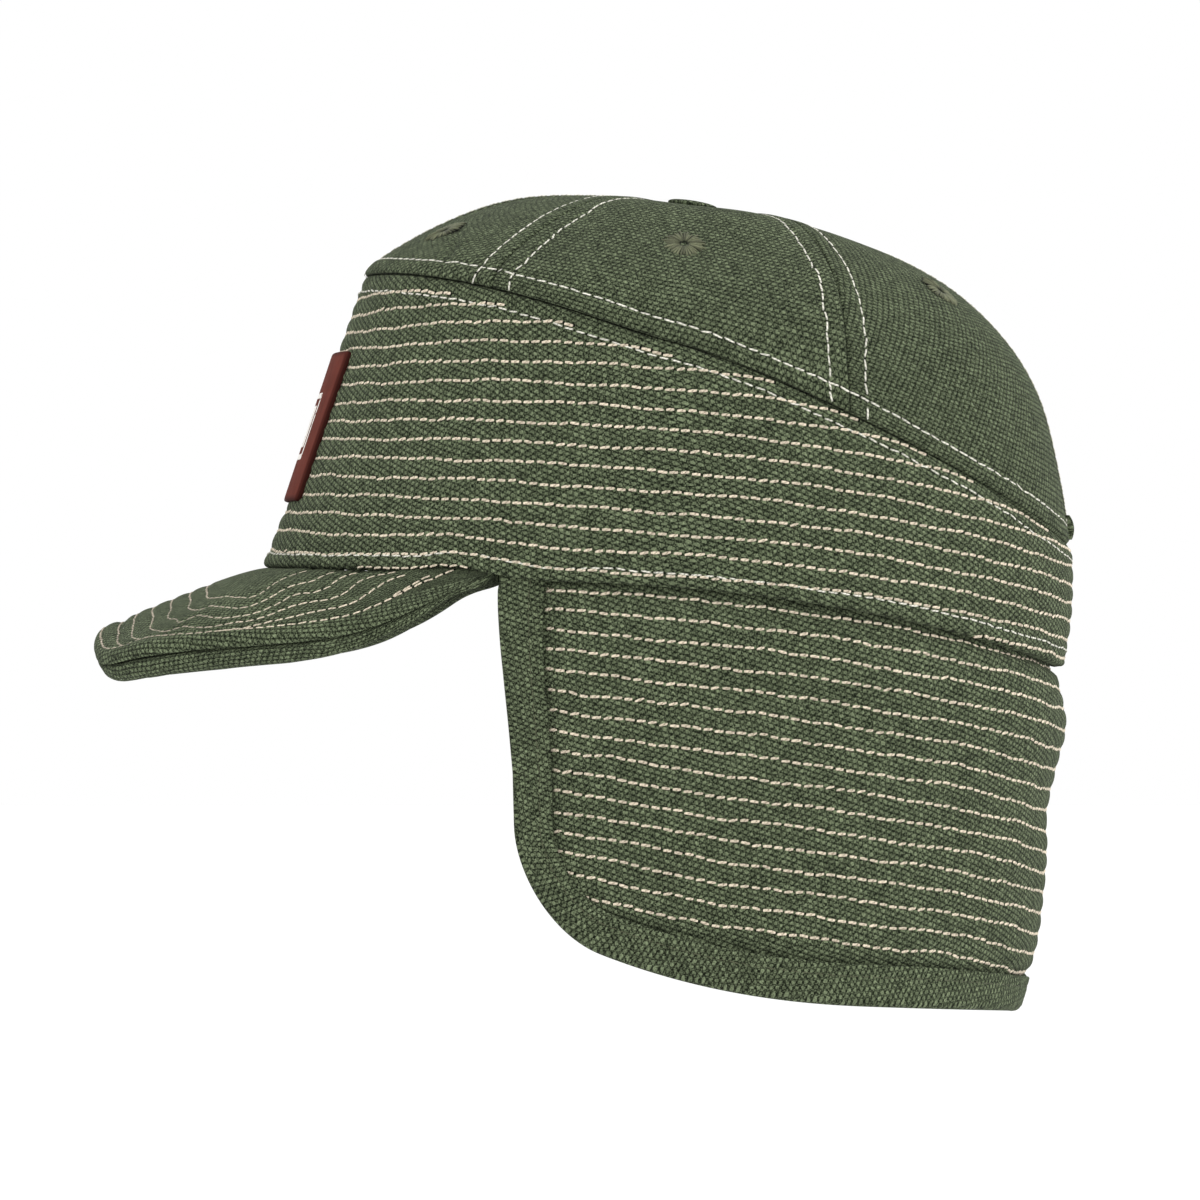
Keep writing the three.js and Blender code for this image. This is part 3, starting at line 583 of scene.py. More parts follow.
def flap_relief(place, height):
    depth = sizes().quilt_depth / MM
    first = flap_row_height(0, place)
    count = np.clip(np.rint((first - height) / FLAP_ROW_STEP), 0, FLAP_ROW_COUNT - 1)
    nearest = np.full(np.broadcast(place, height).shape, FAR)
    for near in (-1, 0, 1):
        row = np.clip(count + near, 0, FLAP_ROW_COUNT - 1)
        nearest = np.minimum(nearest, np.abs(height - flap_row_height(row, place)))
    inside_edge = inside_binding(place, height)
    inside = smooth(inside_edge, -1, 2)
    fall = np.clip((first - height) / 60, 0, 1)
    drape = -0.9 * fall * bell(np.abs(place), FLAP_HALF - 46, 9) + ripple(place, height, 0.3)
    tucked = -0.7 * (1 - smooth(inside_edge, 0, 4)) * smooth(inside_edge, -6, -1)
    low = height_round(BAND_EDGE, flap_angle(FLAP_HALF - np.abs(place), height))
    shaded = -0.9 * (1 - smooth(low - height, 0.2, 2.6))
    padding = inside * depth * (channel(nearest, FLAP_ROW_STEP / 2) - 0.7)
    return padding + tucked + shaded + drape * smooth(first - height, 2, 12)


def flap_half_wall(place, height):
    return blend(FLAP_BOUND_WALL, FLAP_WALL, smooth(inside_binding(place, height), -0.5, 2.5)) / 2


def peak_row_lines():
    """Each row of the wearer's left half of the peak as evenly spaced shares and depths"""
    lines = []
    for knots in PEAK_ROWS:
        flat = [(share * 0.15, depth * 0.1, 0) for share, depth in knots]
        count = 2 + int(np.linalg.norm(np.diff(flat, axis=0), axis=1).sum() / 1.2)
        curve = centripetal(flat, count)
        lines.append((curve[:, 0] / 150, curve[:, 1]))
    return lines


PEAK_LINES = peak_row_lines()


def peak_out(share, depth):
    """The other coordinate of the peak at a depth in from its edge"""
    return 1 - depth / peak_depth(share, 0.0 * share)


def nearest_peak_row(share, out):
    """Distance from the nearest row of stitches of the peak"""
    points = peak_middle(np.abs(share), out)
    nearest = np.full(points.shape[:-1], FAR)
    for along, depth in PEAK_LINES:
        line = peak_middle(along, peak_out(along, depth))
        for start, step in zip(line[:-1], np.diff(line, axis=0)):
            at = np.clip(((points - start) @ step) / (step @ step), 0, 1)
            away = np.linalg.norm(points - start - at[..., None] * step, axis=-1)
            nearest = np.minimum(nearest, away)
    return nearest


def peak_relief(share, out):
    into = peak_depth(share, out)
    puff = sizes().quilt_depth / MM * 0.8 * (channel(nearest_peak_row(share, out), 2.3) - 0.6)
    puff = puff - 0.7 * bell(into, 8.5, 1.6) * (1 - smooth(np.abs(share), 0.2, 0.33))
    return (puff + ripple(share * 150, into, 0.12)) * smooth(into, 1, 4) * peak_fullness(share)


def peak_cover_wall(into, wall, rounding):
    near = np.clip(1 - into / rounding, 0, 1)
    return np.maximum(wall * np.sqrt(1 - near**2), 0.05)


def crown_seam_distance(angle, rise):
    """Distance from the nearest seam between panels, along the cloth"""
    step = 0.01
    girth = np.linalg.norm(crown_point(angle + step, rise) - crown_point(angle - step, rise), axis=-1)
    girth = girth / (2 * step)
    nearest = np.full(np.broadcast(angle, rise).shape, FAR)
    for _, start, _, _, _ in PANELS:
        away = np.abs((angle - radians(start) + math.pi) % TURN - math.pi)
        nearest = np.minimum(nearest, away * girth)
    return nearest


def crown_relief(angle, rise):
    point = crown_point(angle, rise)
    above = np.linalg.norm(point - crown_point(angle, 0.0), axis=-1)
    seam = crown_seam_distance(angle, rise)
    ridge = 0.4 * (1 - smooth(seam, SEAM_TO_STITCH - 0.9, SEAM_TO_STITCH + 0.7))
    ridge = np.maximum(ridge, 0.4 * (1 - smooth(above, SEAM_TO_STITCH - 0.9, SEAM_TO_STITCH + 0.7)))
    line = 0.22 * bell(seam, SEAM_TO_STITCH, 0.7) + 0.22 * bell(above, SEAM_TO_STITCH, 0.7)
    away = point[..., 1] + 54.8 + (91 - point[..., 2]) * 0.26
    crease = (0.5 * bell(away, 3, 1.8) - 0.9 * bell(away, 0, 1.3)) * bell(point[..., 2], 86.5, 5.5)
    crease = crease * smooth(point[..., 0], 8, 26)
    soft = 0.35 * np.sin(point[..., 1] / 9 + point[..., 0] / 21) * np.cos(point[..., 0] / 12 + 0.4)
    drawn = ridge - line - 1.3 * fold_round(seam, 1.0) - fold_round(above, 1.0)
    settled = 0.75 * smooth(point[..., 2], 74, 90) * (1 - 0.9 * bell(point[..., 1], -12, 11))
    settled = settled - 0.7 * np.maximum(np.cos(angle), 0) ** 2 * (1 - smooth(point[..., 2], 62, 76))
    return drawn + crease + soft + ripple(point[..., 0], point[..., 1], 0.22) - settled


class Face:
    """A face of the cloth, given by two coordinates, with its relief and its outward side"""

    def __init__(self, point, steps, outward=1, relief=None):
        self.point = point
        self.steps = steps
        self.outward = outward
        self.relief = relief

    def normal(self, u, v):
        du, dv = self.steps
        across = self.point(u + du, v) - self.point(u - du, v)
        up = self.point(u, v + dv) - self.point(u, v - dv)
        normal = self.outward * np.cross(across, up)
        return normal / np.maximum(np.linalg.norm(normal, axis=-1), 1e-9)[..., None]

    def place(self, u, v, lift=0.0):
        rise = self.relief(u, v) if self.relief else 0.0
        return self.point(u, v) + self.normal(u, v) * np.asarray(rise + lift)[..., None]


BAND_FACE = Face(band_point, (0.01, 0.5), 1, band_relief)
CROWN_FACE = Face(crown_point, (0.006, 0.004), 1, crown_relief)
FLAP_OUT = Face(
    lambda place, height: flap_flat_point(place, height, flap_half_wall(place, height)),
    (0.5, 0.5),
    1,
    flap_relief,
)
FLAP_IN = Face(
    lambda place, height: flap_flat_point(place, height, -flap_half_wall(place, height)),
    (0.5, 0.5),
    -1,
    lambda place, height: 0.8 * flap_relief(place, height),
)


class PeakFace(Face):
    """The outer face of one cover of the peak; it rounds over to a groove where the covers meet"""

    def __init__(self, wall, rounding, outward, relief):
        super().__init__(peak_middle, (0.004, 0.02), outward, relief)
        self.wall = wall
        self.rounding = rounding

    def place(self, u, v, lift=0.0):
        into = peak_depth(u, v)
        side = np.abs(u)
        wall = self.wall * peak_fullness(u)
        if self.outward > 0:
            least = PEAK_TOP_COVER["least"] - bump(PEAK_TOP_COVER["thinner"], side)
            wall = self.wall * np.maximum(peak_fullness(u), least)
            wall = wall - PEAK_TOP_COVER["less"] + bump(PEAK_TOP_COVER["fuller"], side)
        height = peak_cover_wall(into, wall, self.rounding)
        reach = np.maximum(peak_depth(u, 0.0 * v), 1)
        draw = PEAK_GROOVE["depth"] * (1 - smooth(height, 0, PEAK_GROOVE["mouth"])) * peak_fullness(u)
        if self.outward > 0:
            swell = PEAK_LIP["swell"] + bump(PEAK_LIP["fuller"], side)
            draw = draw - swell * smooth(into, 0, 0.9) * (1 - smooth(into, 2, 7)) * smooth(reach, 3, 12)
        rise = height + self.relief(u, v) + lift
        point = peak_middle(u, v - draw / reach)
        return point + self.normal(u, np.minimum(v, 0.97)) * np.asarray(rise)[..., None]


PEAK_TOP = PeakFace(PEAK_TOP_WALL, PEAK_EDGE_ROUND["top"], -1, peak_relief)
PEAK_UNDER = PeakFace(
    PEAK_UNDER_WALL,
    PEAK_EDGE_ROUND["under"],
    1,
    lambda share, out: ripple(share * 150, peak_depth(share, out), 0.15) * peak_fullness(share),
)


# Meshes


def make_object(name, points, quads, others=(), uv=None, other_uv=None, sharp=50):
    """A smooth mesh object from points in millimetres; uv is in millimetres of cloth"""
    points = np.asarray(points, float).reshape(-1, 3) * MM
    quads = np.asarray(quads, np.int32).reshape(-1, 4)
    loops = np.concatenate([quads.ravel()] + [np.asarray(face, np.int32) for face in others])
    counts = np.array([4] * len(quads) + [len(face) for face in others], np.int32)
    starts = np.concatenate([[0], np.cumsum(counts)[:-1]]).astype(np.int32)
    mesh = bpy.data.meshes.new(name)
    mesh.vertices.add(len(points))
    mesh.vertices.foreach_set("co", points.ravel())
    mesh.loops.add(len(loops))
    mesh.loops.foreach_set("vertex_index", loops)
    mesh.polygons.add(len(counts))
    mesh.polygons.foreach_set("loop_start", starts)
    mesh.polygons.foreach_set("use_smooth", np.ones(len(counts), bool))
    if uv is not None:
        layer = mesh.uv_layers.new(name="cloth")
        corners = np.zeros((len(loops), 2))
        corners[: quads.size] = np.asarray(uv, float).reshape(-1, 2)
        if other_uv is not None and len(other_uv):
            corners[quads.size :] = np.asarray(other_uv, float).reshape(-1, 2)
        layer.data.foreach_set("uv", corners.ravel())
    mesh.update(calc_edges=True)
    mesh.validate()
    if sharp:
        mesh.set_sharp_from_angle(angle=math.radians(sharp))
    made = bpy.data.objects.new(name, mesh)
    bpy.context.scene.collection.objects.link(made)
    return made


def grid_quads(columns, rows, ring, start, flip):
    """Corner numbers of the quads of a grid, and the (column, row) of each corner"""
    across = columns if ring else columns - 1
    column, row = np.meshgrid(np.arange(across), np.arange(rows - 1), indexing="ij")
    column, row = column.ravel(), row.ravel()
    order = ((0, 0), (1, 0), (1, 1), (0, 1))
    if flip:
        order = order[::-1]
    corners = np.stack([np.stack([column + a, row + b], -1) for a, b in order], 1)
    numbers = start + (corners[..., 0] % columns) * rows + corners[..., 1]
    return numbers, corners


def shell(name, outer, inner, uv_outer, uv_inner, ring=False):
    """A closed sheet of cloth: two grids with the same columns, joined round their edges"""
    columns, rows = outer.shape[:2]
    inner_rows = inner.shape[1]
    split = columns * rows
    quads, spots = grid_quads(columns, rows, ring, 0, False)
    back, back_spots = grid_quads(columns, inner_rows, ring, split, True)
    uv = [uv_outer[spots[..., 0], spots[..., 1]], uv_inner[back_spots[..., 0], back_spots[..., 1]]]
    faces = [quads, back]
    across = np.arange(columns if ring else columns - 1)
    after = (across + 1) % columns
    low = np.stack(
        [split + across * inner_rows, split + after * inner_rows, after * rows, across * rows], -1
    )
    low_uv = np.stack([uv_outer[across, 0], uv_outer[across + 1, 0]] * 2, 1)[:, [0, 1, 1, 0]]
    last, inner_last = rows - 1, inner_rows - 1
    high = np.stack(
        [
            across * rows + last,
            after * rows + last,
            split + after * inner_rows + inner_last,
            split + across * inner_rows + inner_last,
        ],
        -1,
    )
    high_uv = np.stack([uv_outer[across, last], uv_outer[across + 1, last]] * 2, 1)[:, [0, 1, 1, 0]]
    faces += [low, high]
    uv += [low_uv, high_uv]
    caps, caps_uv = [], []
    if not ring:
        for column, turned in ((0, True), (columns - 1, False)):
            out_side = [column * rows + row for row in range(rows)]
            in_side = [split + column * inner_rows + row for row in range(inner_rows)][::-1]
            loop = out_side + in_side
            loop_uv = list(uv_outer[column]) + list(uv_inner[column][::-1])
            caps.append(loop[::-1] if turned else loop)
            caps_uv += loop_uv[::-1] if turned else loop_uv
    points = np.concatenate([outer.reshape(-1, 3), inner.reshape(-1, 3)])
    return make_object(name, points, np.concatenate(faces), caps, np.concatenate(uv), caps_uv)


def place_on_row(face, u, v, pitch):
    """Centre, direction and outward side of each stitch along a line on a face"""
    points = face.place(u, v)
    length = running_length(points, 0)
    count = round(length[-1] / pitch)
    if count < 1:
        return None
    pitch = length[-1] / count
    at = (np.arange(count) + 0.5) * pitch

    def point(where):
        return np.interp(where, length, u), np.interp(where, length, v)

    here = face.place(*point(at))
    run = face.place(*point(at + pitch * 0.3)) - face.place(*point(at - pitch * 0.3))
    run /= np.linalg.norm(run, axis=1)[:, None]
    out = face.normal(*point(at))
    return here, run, out


def mark_points(piece, **marks):
    """Numbers on the points of a piece, for its finish to read"""
    for label, values in marks.items():
        data = piece.data.attributes.new(label, "FLOAT", "POINT").data
        data.foreach_set("value", np.asarray(values, np.float32))


def sew(name, runs, pitch, width, finish, slant=0.0, fill=0.94, sides=6, holes=True, rings=5, front_darkening=0.0):
    """Stitches of one thread, each a short rounded length that dives at both ends; with holes, a dark disc of
    painted shade lies in each needle hole
    """
    runs = [run for run in runs if run is not None]
    centre, along, out = (np.concatenate([run[k] for run in runs]) for k in range(3))
    count = len(centre)
    side = np.cross(out, along)
    chance = np.random.default_rng(len(name) * 31 + count)
    lean = slant + chance.normal(0, STITCH["lean"], count)
    shift = chance.normal(0, STITCH["shift"], count) * width
    long = pitch * fill * chance.uniform(STITCH["shortest"], STITCH["longest"], count)
    profile = {
        5: ((-0.5, 0.5, -0.3), (-0.41, 0.92, 0.06), (0, 1, 0.18), (0.41, 0.92, 0.06), (0.5, 0.5, -0.3)),
        3: ((-0.5, 0.6, -0.1), (0, 1, 0.18), (0.5, 0.6, -0.1)),
    }[rings]
    turn = TURN * (np.arange(sides) + 0.5) / sides - math.pi / 2
    points, dips, plies = [], [], []
    for place, size, lift in profile:
        offset = place * long
        spine = centre + along * offset[:, None] + side * (shift + lean * offset)[:, None]
        spine = spine + out * (lift * width)
        ring = side[:, None] * (0.5 * width * size * np.cos(turn))[None, :, None]
        ring = ring + out[:, None] * (STITCH["half_height"] * width * size * np.sin(turn))[None, :, None]
        points.append(spine[:, None] + ring)
        # dip grows where a ring narrows towards the stitch's ends; the thread finish paints shade there
        dips.append(np.full((count, sides), 1 - size))
        plies.append(offset[:, None] / (2.2 * width) + np.arange(sides)[None, :] / sides)
    points = np.stack(points, 1)
    rings_made = len(profile)
    base = np.arange(count)[:, None, None] * rings_made * sides
    ring = np.arange(rings_made - 1)[None, :, None] * sides
    spot = np.arange(sides)[None, None, :]
    after = (spot + 1) % sides
    low, high = base + ring, base + ring + sides
    quads = np.stack([low + spot, low + after, high + after, high + spot], -1).reshape(-1, 4)
    start = np.arange(count)[:, None] * rings_made * sides
    first = start + np.arange(sides)[::-1]
    final = start + (rings_made - 1) * sides + np.arange(sides)
    others = [*first, *final]
    vertices = points.reshape(-1, 3)
    hole_faces = []
    # Painted shade: a small dark disc in the gap after each stitch, where the needle hole lies in shade
    if holes:
        half_length, half_width = NEEDLE_HOLE["half_length"] * width, NEEDLE_HOLE["half_width"] * width
        gap = centre + along * (pitch / 2) + out * (NEEDLE_HOLE["lift"] * width)
        rim = gap[:, None] + along[:, None] * (half_length * np.cos(turn))[None, :, None]
        rim = rim + side[:, None] * (half_width * np.sin(turn))[None, :, None]
        begin = len(vertices)
        vertices = np.concatenate([vertices, rim.reshape(-1, 3)])
        hole_faces = list(begin + np.arange(count)[:, None] * sides + np.arange(sides))
    made = make_object(name, vertices, quads, others + hole_faces, sharp=None)
    dip = np.zeros(len(vertices), np.float32)
    dip[: count * rings_made * sides] = np.stack(dips, 1).ravel()
    tone = np.full(len(vertices), 1, np.float32)
    # Stitches are darker towards the front of the peak, by the given share
    shades = chance.uniform(0.82, 1.08, count) * (1 - front_darkening * (1 - smooth(centre[:, 1], -122, -98)))
    tone[: count * rings_made * sides] = np.repeat(shades, rings_made * sides)
    ply = np.zeros(len(vertices), np.float32)
    ply[: count * rings_made * sides] = np.stack(plies, 1).ravel()
    mark_points(made, dip=dip, tone=tone, ply=ply)
    made.data.materials.append(finish)
    if holes:
        made.data.materials.append(finish_named("needle_hole"))
        index = np.zeros(len(made.data.polygons), np.int32)
        index[-count:] = 1
        made.data.polygons.foreach_set("material_index", index)
    return made


# Finishes


class Wire:
    """An output socket of a finish, used like a number"""

    def __init__(self, finish, socket):
        self.finish = finish
        self.socket = socket

    def math(self, operation, other=None, turned=False):
        values = [self] if other is None else [other, self] if turned else [self, other]
        return self.finish.node(
            "ShaderNodeMath", {"operation": operation}, dict(enumerate(values))
        )

    def __add__(self, other):
        return self.math("ADD", other)

    __radd__ = __add__

    def __sub__(self, other):
        return self.math("SUBTRACT", other)

    def __rsub__(self, other):
        return self.math("SUBTRACT", other, True)

    def __mul__(self, other):
        return self.math("MULTIPLY", other)

    __rmul__ = __mul__

    def __truediv__(self, other):
        return self.math("DIVIDE", other)

    def __pow__(self, other):
        return self.math("POWER", other)

    def __gt__(self, other):
        return self.math("GREATER_THAN", other)

    def __lt__(self, other):
        return self.math("LESS_THAN", other)

    def __abs__(self):
        return self.math("ABSOLUTE")

    def cosine(self):
        return self.math("COSINE")

    def floor(self):
        return self.math("FLOOR")

    def clipped(self):
        return self.finish.node(
            "ShaderNodeMath", {"operation": "ADD", "use_clamp": True}, {0: self, 1: 0.0}
        )


class Finish:
    """The material of one kind of piece"""

    def __init__(self, name, roughness, sheen=0.0):
        self.material = bpy.data.materials.new(name)
        self.material.use_nodes = True
        self.tree = self.material.node_tree
        self.shader = self.tree.nodes["Principled BSDF"]
        self.shader.inputs["Roughness"].default_value = roughness
        self.shader.inputs["Specular IOR Level"].default_value = 0.12
        self.shader.inputs["Sheen Weight"].default_value = sheen
        self.shader.inputs["Sheen Roughness"].default_value = 0.6

    def node(self, kind, settings=None, values=None, out=0):
        made = self.tree.nodes.new(kind)
        for key, value in (settings or {}).items():
            if key == "stops":
                ramp = made.color_ramp
                while len(ramp.elements) < len(value):
                    ramp.elements.new(0.5)
                for element, (place, shade) in zip(ramp.elements, value):
                    element.position = place
                    element.color = (*shade, 1)
            else:
                setattr(made, key, value)
        for key, value in (values or {}).items():
            socket = made.inputs[key]
            if isinstance(value, Wire):
                self.tree.links.new(value.socket, socket)
            else:
                socket.default_value = value
        return Wire(self, made.outputs[out])

    def parted(self, vector):
        """The first two numbers of a vector"""
        first = self.node("ShaderNodeSeparateXYZ", None, {0: vector})
        return first, Wire(self, first.socket.node.outputs[1])

    def mix(self, share, low, high):
        """A colour between two colours"""
        low, high = ((*side, 1) if not isinstance(side, Wire) else side for side in (low, high))
        return self.node(
            "ShaderNodeMix", {"data_type": "RGBA"}, {0: share, 6: low, 7: high}, out=2
        )

    def shaded(self, shade, amount):
        """A colour made lighter or darker by a number"""
        return self.node(
            "ShaderNodeVectorMath", {"operation": "SCALE"}, {0: shade, 3: amount}
        )

    def noise(self, size, detail=2.0, vector=None):
        values = {"Scale": 1 / size, "Detail": detail}
        values["Vector"] = vector or self.node("ShaderNodeTexCoord", out=3)
        return self.node("ShaderNodeTexNoise", None, values)

    def wear(self, colour_wire, height=None, distance=0.0002, strength=1.0):
        """Sends the colour and the fine height to the shader"""
        self.tree.links.new(colour_wire.socket, self.shader.inputs["Base Color"])
        if height is not None:
            bump = self.node(
                "ShaderNodeBump",
                None,
                {"Strength": strength, "Distance": distance, "Height": height},
            )
            self.tree.links.new(bump.socket, self.shader.inputs["Normal"])
        return self.material


def canvas(name, lightness, bias):
    """Plain-woven cotton canvas: plump upright yarns over lower level yarns, with painted shade that darkens
    the low yarns and the gaps between them
    """
    cloth = Finish(name, 0.95, 0.02)
    cloth.shader.inputs["Specular IOR Level"].default_value = 0.05
    size, shade = sizes(), colours()
    place = cloth.node("ShaderNodeUVMap", {"uv_map": "cloth"})
    across, up = cloth.parted(place)
    turn = math.radians(bias)
    across, up = (
        across * math.cos(turn) + up * math.sin(turn),
        up * math.cos(turn) - across * math.sin(turn),
    )
    pull = cloth.noise(9.0, 2.0, place) - 0.5
    slub = cloth.noise(0.9, 2.0, place) - 0.5
    x = (across + pull * 0.6 + slub * 1.2) / (size.yarn_across / MM)
    y = (up + pull * 0.7 - slub * 1.1) / (size.yarn_up / MM)
    column = (x + 0.5).floor()
    beside = abs(x - column)
    crest = ((y + column) * math.pi).cosine() * 0.5
    own = 1 - (beside / 0.45) ** 2 - ((0.5 - crest) / 0.8) ** 2
    level_yarn = 0.42 - ((0.5 + crest) / 0.7) ** 2 - ((0.5 - beside) / 0.5) ** 2
    height = own.math("MAXIMUM", level_yarn).math("MAXIMUM", 0.0)
    crossing = ((y + column) * 0.5 + 0.5).floor()
    cell = cloth.node("ShaderNodeCombineXYZ", None, {0: column, 1: crossing})
    chance = cloth.node("ShaderNodeTexWhiteNoise", {"noise_dimensions": "2D"}, {0: cell})
    fibre = cloth.noise(0.0004, 2.0)
    yarns = cloth.mix((chance * 0.6 + fibre * 1.2 - 0.4).clipped(), shade.canvas_weft, shade.canvas_warp)
    # Painted shade: the colour falls to the gap shade where the yarns lie low
    yarns_with_gap_shade = cloth.mix((height * 1.6 + fibre * 0.9 - 0.4).clipped(), shade.canvas_gap, yarns)
    patchy = cloth.noise(0.013) * 0.3 + cloth.noise(0.0035) * 0.25
    level = (chance * 0.3 + fibre * 2.2 + patchy - 0.5) * lightness * 1.3
    return cloth.wear(cloth.shaded(yarns_with_gap_shade, level), height, 0.0003, 0.9)


def thread(name, base, dip_shade):
    """Twisted sewing thread in one colour, with painted shade: a darker colour where it dives into the cloth
    and in the grooves between its plies
    """
    yarn = Finish(name, 0.7, 0.05)
    shade = colours()
    dip, tone, ply = (
        yarn.node("ShaderNodeAttribute", {"attribute_name": label}, out=2) for label in ("dip", "tone", "ply")
    )
    fuzz = yarn.noise(0.0004, 2.0)
    twist = abs((ply * math.pi).cosine()) ** 0.6
    # Painted shade: the colour darkens towards the dip colour where the thread dives and between its plies
    share = (dip * 1.8 + (1 - twist) * 0.8 + (0.42 - fuzz) * 1.2).clipped()
    body = yarn.mix(share, getattr(shade, base), getattr(shade, dip_shade))
    return yarn.wear(yarn.shaded(body, tone * (fuzz * 0.6 + 0.75)), twist + fuzz * 0.4, 0.00014, 0.7)


def needle_hole(name):
    # Painted shade: the dark disc in a needle hole
    hole = Finish(name, 1.0)
    fuzz = hole.noise(0.0006, 1.0)
    return hole.wear(hole.mix(fuzz, colours().needle_hole, colours().canvas_gap))


def leather(name):
    """Smooth leather with a fine grain, a darker cut edge and a plain printed bar in the middle"""
    hide = Finish(name, 0.8)
    hide.shader.inputs["Specular IOR Level"].default_value = 0.04
    shade = colours()
    edge, face = hide.parted(hide.node("ShaderNodeUVMap", {"uv_map": "cloth"}))
    place = hide.node("ShaderNodeTexCoord", out=3)
    grain = hide.node("ShaderNodeTexVoronoi", None, {"Scale": 1600.0, "Vector": place})
    cloudy = hide.noise(0.006, 3.0)
    body = hide.shaded(tuple(shade.leather), cloudy * 0.7 + 0.65)
    # The face darkens to the edge colour within about 1.4 mm of its rim
    rim_darkening = (1 - edge * 0.7).clipped() * face
    body = hide.mix(rim_darkening, body, shade.leather_edge)
    cut = hide.mix((1 - face).clipped(), body, shade.leather_edge)
    rubbed = hide.noise(0.0012, 2.0) > 0.36
    line = (edge > 10.4) * ((edge > 13.6) + (edge < 11.8)).clipped() * rubbed * face
    printed = hide.mix(line, cut, shade.print_white)
    return hide.wear(printed, grain * 0.5 + hide.noise(0.0015, 3.0), 0.00012, 0.5)


# How each finish is made, and the slot of the hat that it belongs to
FINISHES = {
    "quilted_cloth": (canvas, (1.0, 10.0), "quilted_canvas"),
    # Painted shade: the crown's canvas is the band's cloth made darker, to hold back the stronger light that
    # falls on the upturned crown
    "crown_cloth": (canvas, (0.92, 10.0), "crown_canvas"),
    "binding_cloth": (canvas, (1.04, 98.0), "binding_tape"),
    # The second colour of each thread is the painted shade where it dives into the cloth
    "quilting_thread": (thread, ("thread_beige", "thread_dip"), "quilted_canvas"),
    "topstitch_thread": (thread, ("thread_white", "canvas_weft"), "crown_canvas"),
    "green_thread": (thread, ("thread_green", "canvas_gap"), "eyelet_thread"),
    "patch_hide": (leather, (), "patch_leather"),
    "needle_hole": (needle_hole, (), None),
}


def finish_named(name):
    """A finish by its name, made the first time that it is asked for"""
    make, values, _ = FINISHES[name]
    return bpy.data.materials.get(name) or make(name, *values)


def dress(piece, finish, *nodes):
    """Gives a piece its finish and its place in the frame"""
    if not piece.data.materials:
        piece.data.materials.append(finish_named(finish))
    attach(piece, "root")
    if nodes:
        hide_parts(*nodes)
    return piece


def cloth_uv(across, up):
    return np.stack(np.broadcast_arrays(across, up), -1)


def surface_area(grid):
    """Area in square metres of a grid of points in millimetres"""
    a, b, c, d = grid[:-1, :-1], grid[1:, :-1], grid[1:, 1:], grid[:-1, 1:]
    size = np.linalg.norm(np.cross(b - a, c - a), axis=-1) + np.linalg.norm(np.cross(c - a, d - a), axis=-1)
    return float(size.sum() / 2) * MM * MM


# Pieces


def build_panel(name, start, end, columns=64, rows=84):
    spread = (1 - np.cos(math.pi * np.linspace(0, 1, columns))) / 2
    angle = radians(blend(start, end, spread))[:, None]
    low = 0.5 * (1 - np.cos(math.pi * np.linspace(0, 1, rows)))
    rise = PANEL_TOP * blend(np.linspace(0, 1, rows), low, 0.55)[None, :]
    angle, rise = np.broadcast_arrays(angle, rise)
    outer = CROWN_FACE.place(angle, rise)
    kept = np.unique(np.append(np.arange(0, rows, 3), rows - 1))
    inner_rise = rise[:, kept]
    inner_angle = angle[:, : inner_rise.shape[1]]
    inner = crown_point(inner_angle, inner_rise)
    inner = inner - CROWN_FACE.normal(inner_angle, np.maximum(inner_rise, 0.004)) * (CROWN_WALL + 0.6)
    middle = columns // 2
    across = running_length(outer, 0)
    across = across - across[middle]
    up = running_length(outer, 1)[middle][None, :]
    centre = (start + end) / 2
    grain = float(np.interp(side_degrees(radians(centre)), *PANEL_GRAIN))
    grain = radians(grain if centre < 180 else -20 - grain)
    across, up = across * np.cos(grain) + up * np.sin(grain), up * np.cos(grain) - across * np.sin(grain)
    uv = cloth_uv(across, up)
    made = shell(f"{name}_cloth", outer, inner, uv, uv[:, kept])
    dress(made, "crown_cloth", name)
    area = surface_area(outer)
    width = float(np.ptp(running_length(outer, 0))) * MM
    length = float(np.ptp(running_length(outer, 1)[middle])) * MM
    return made


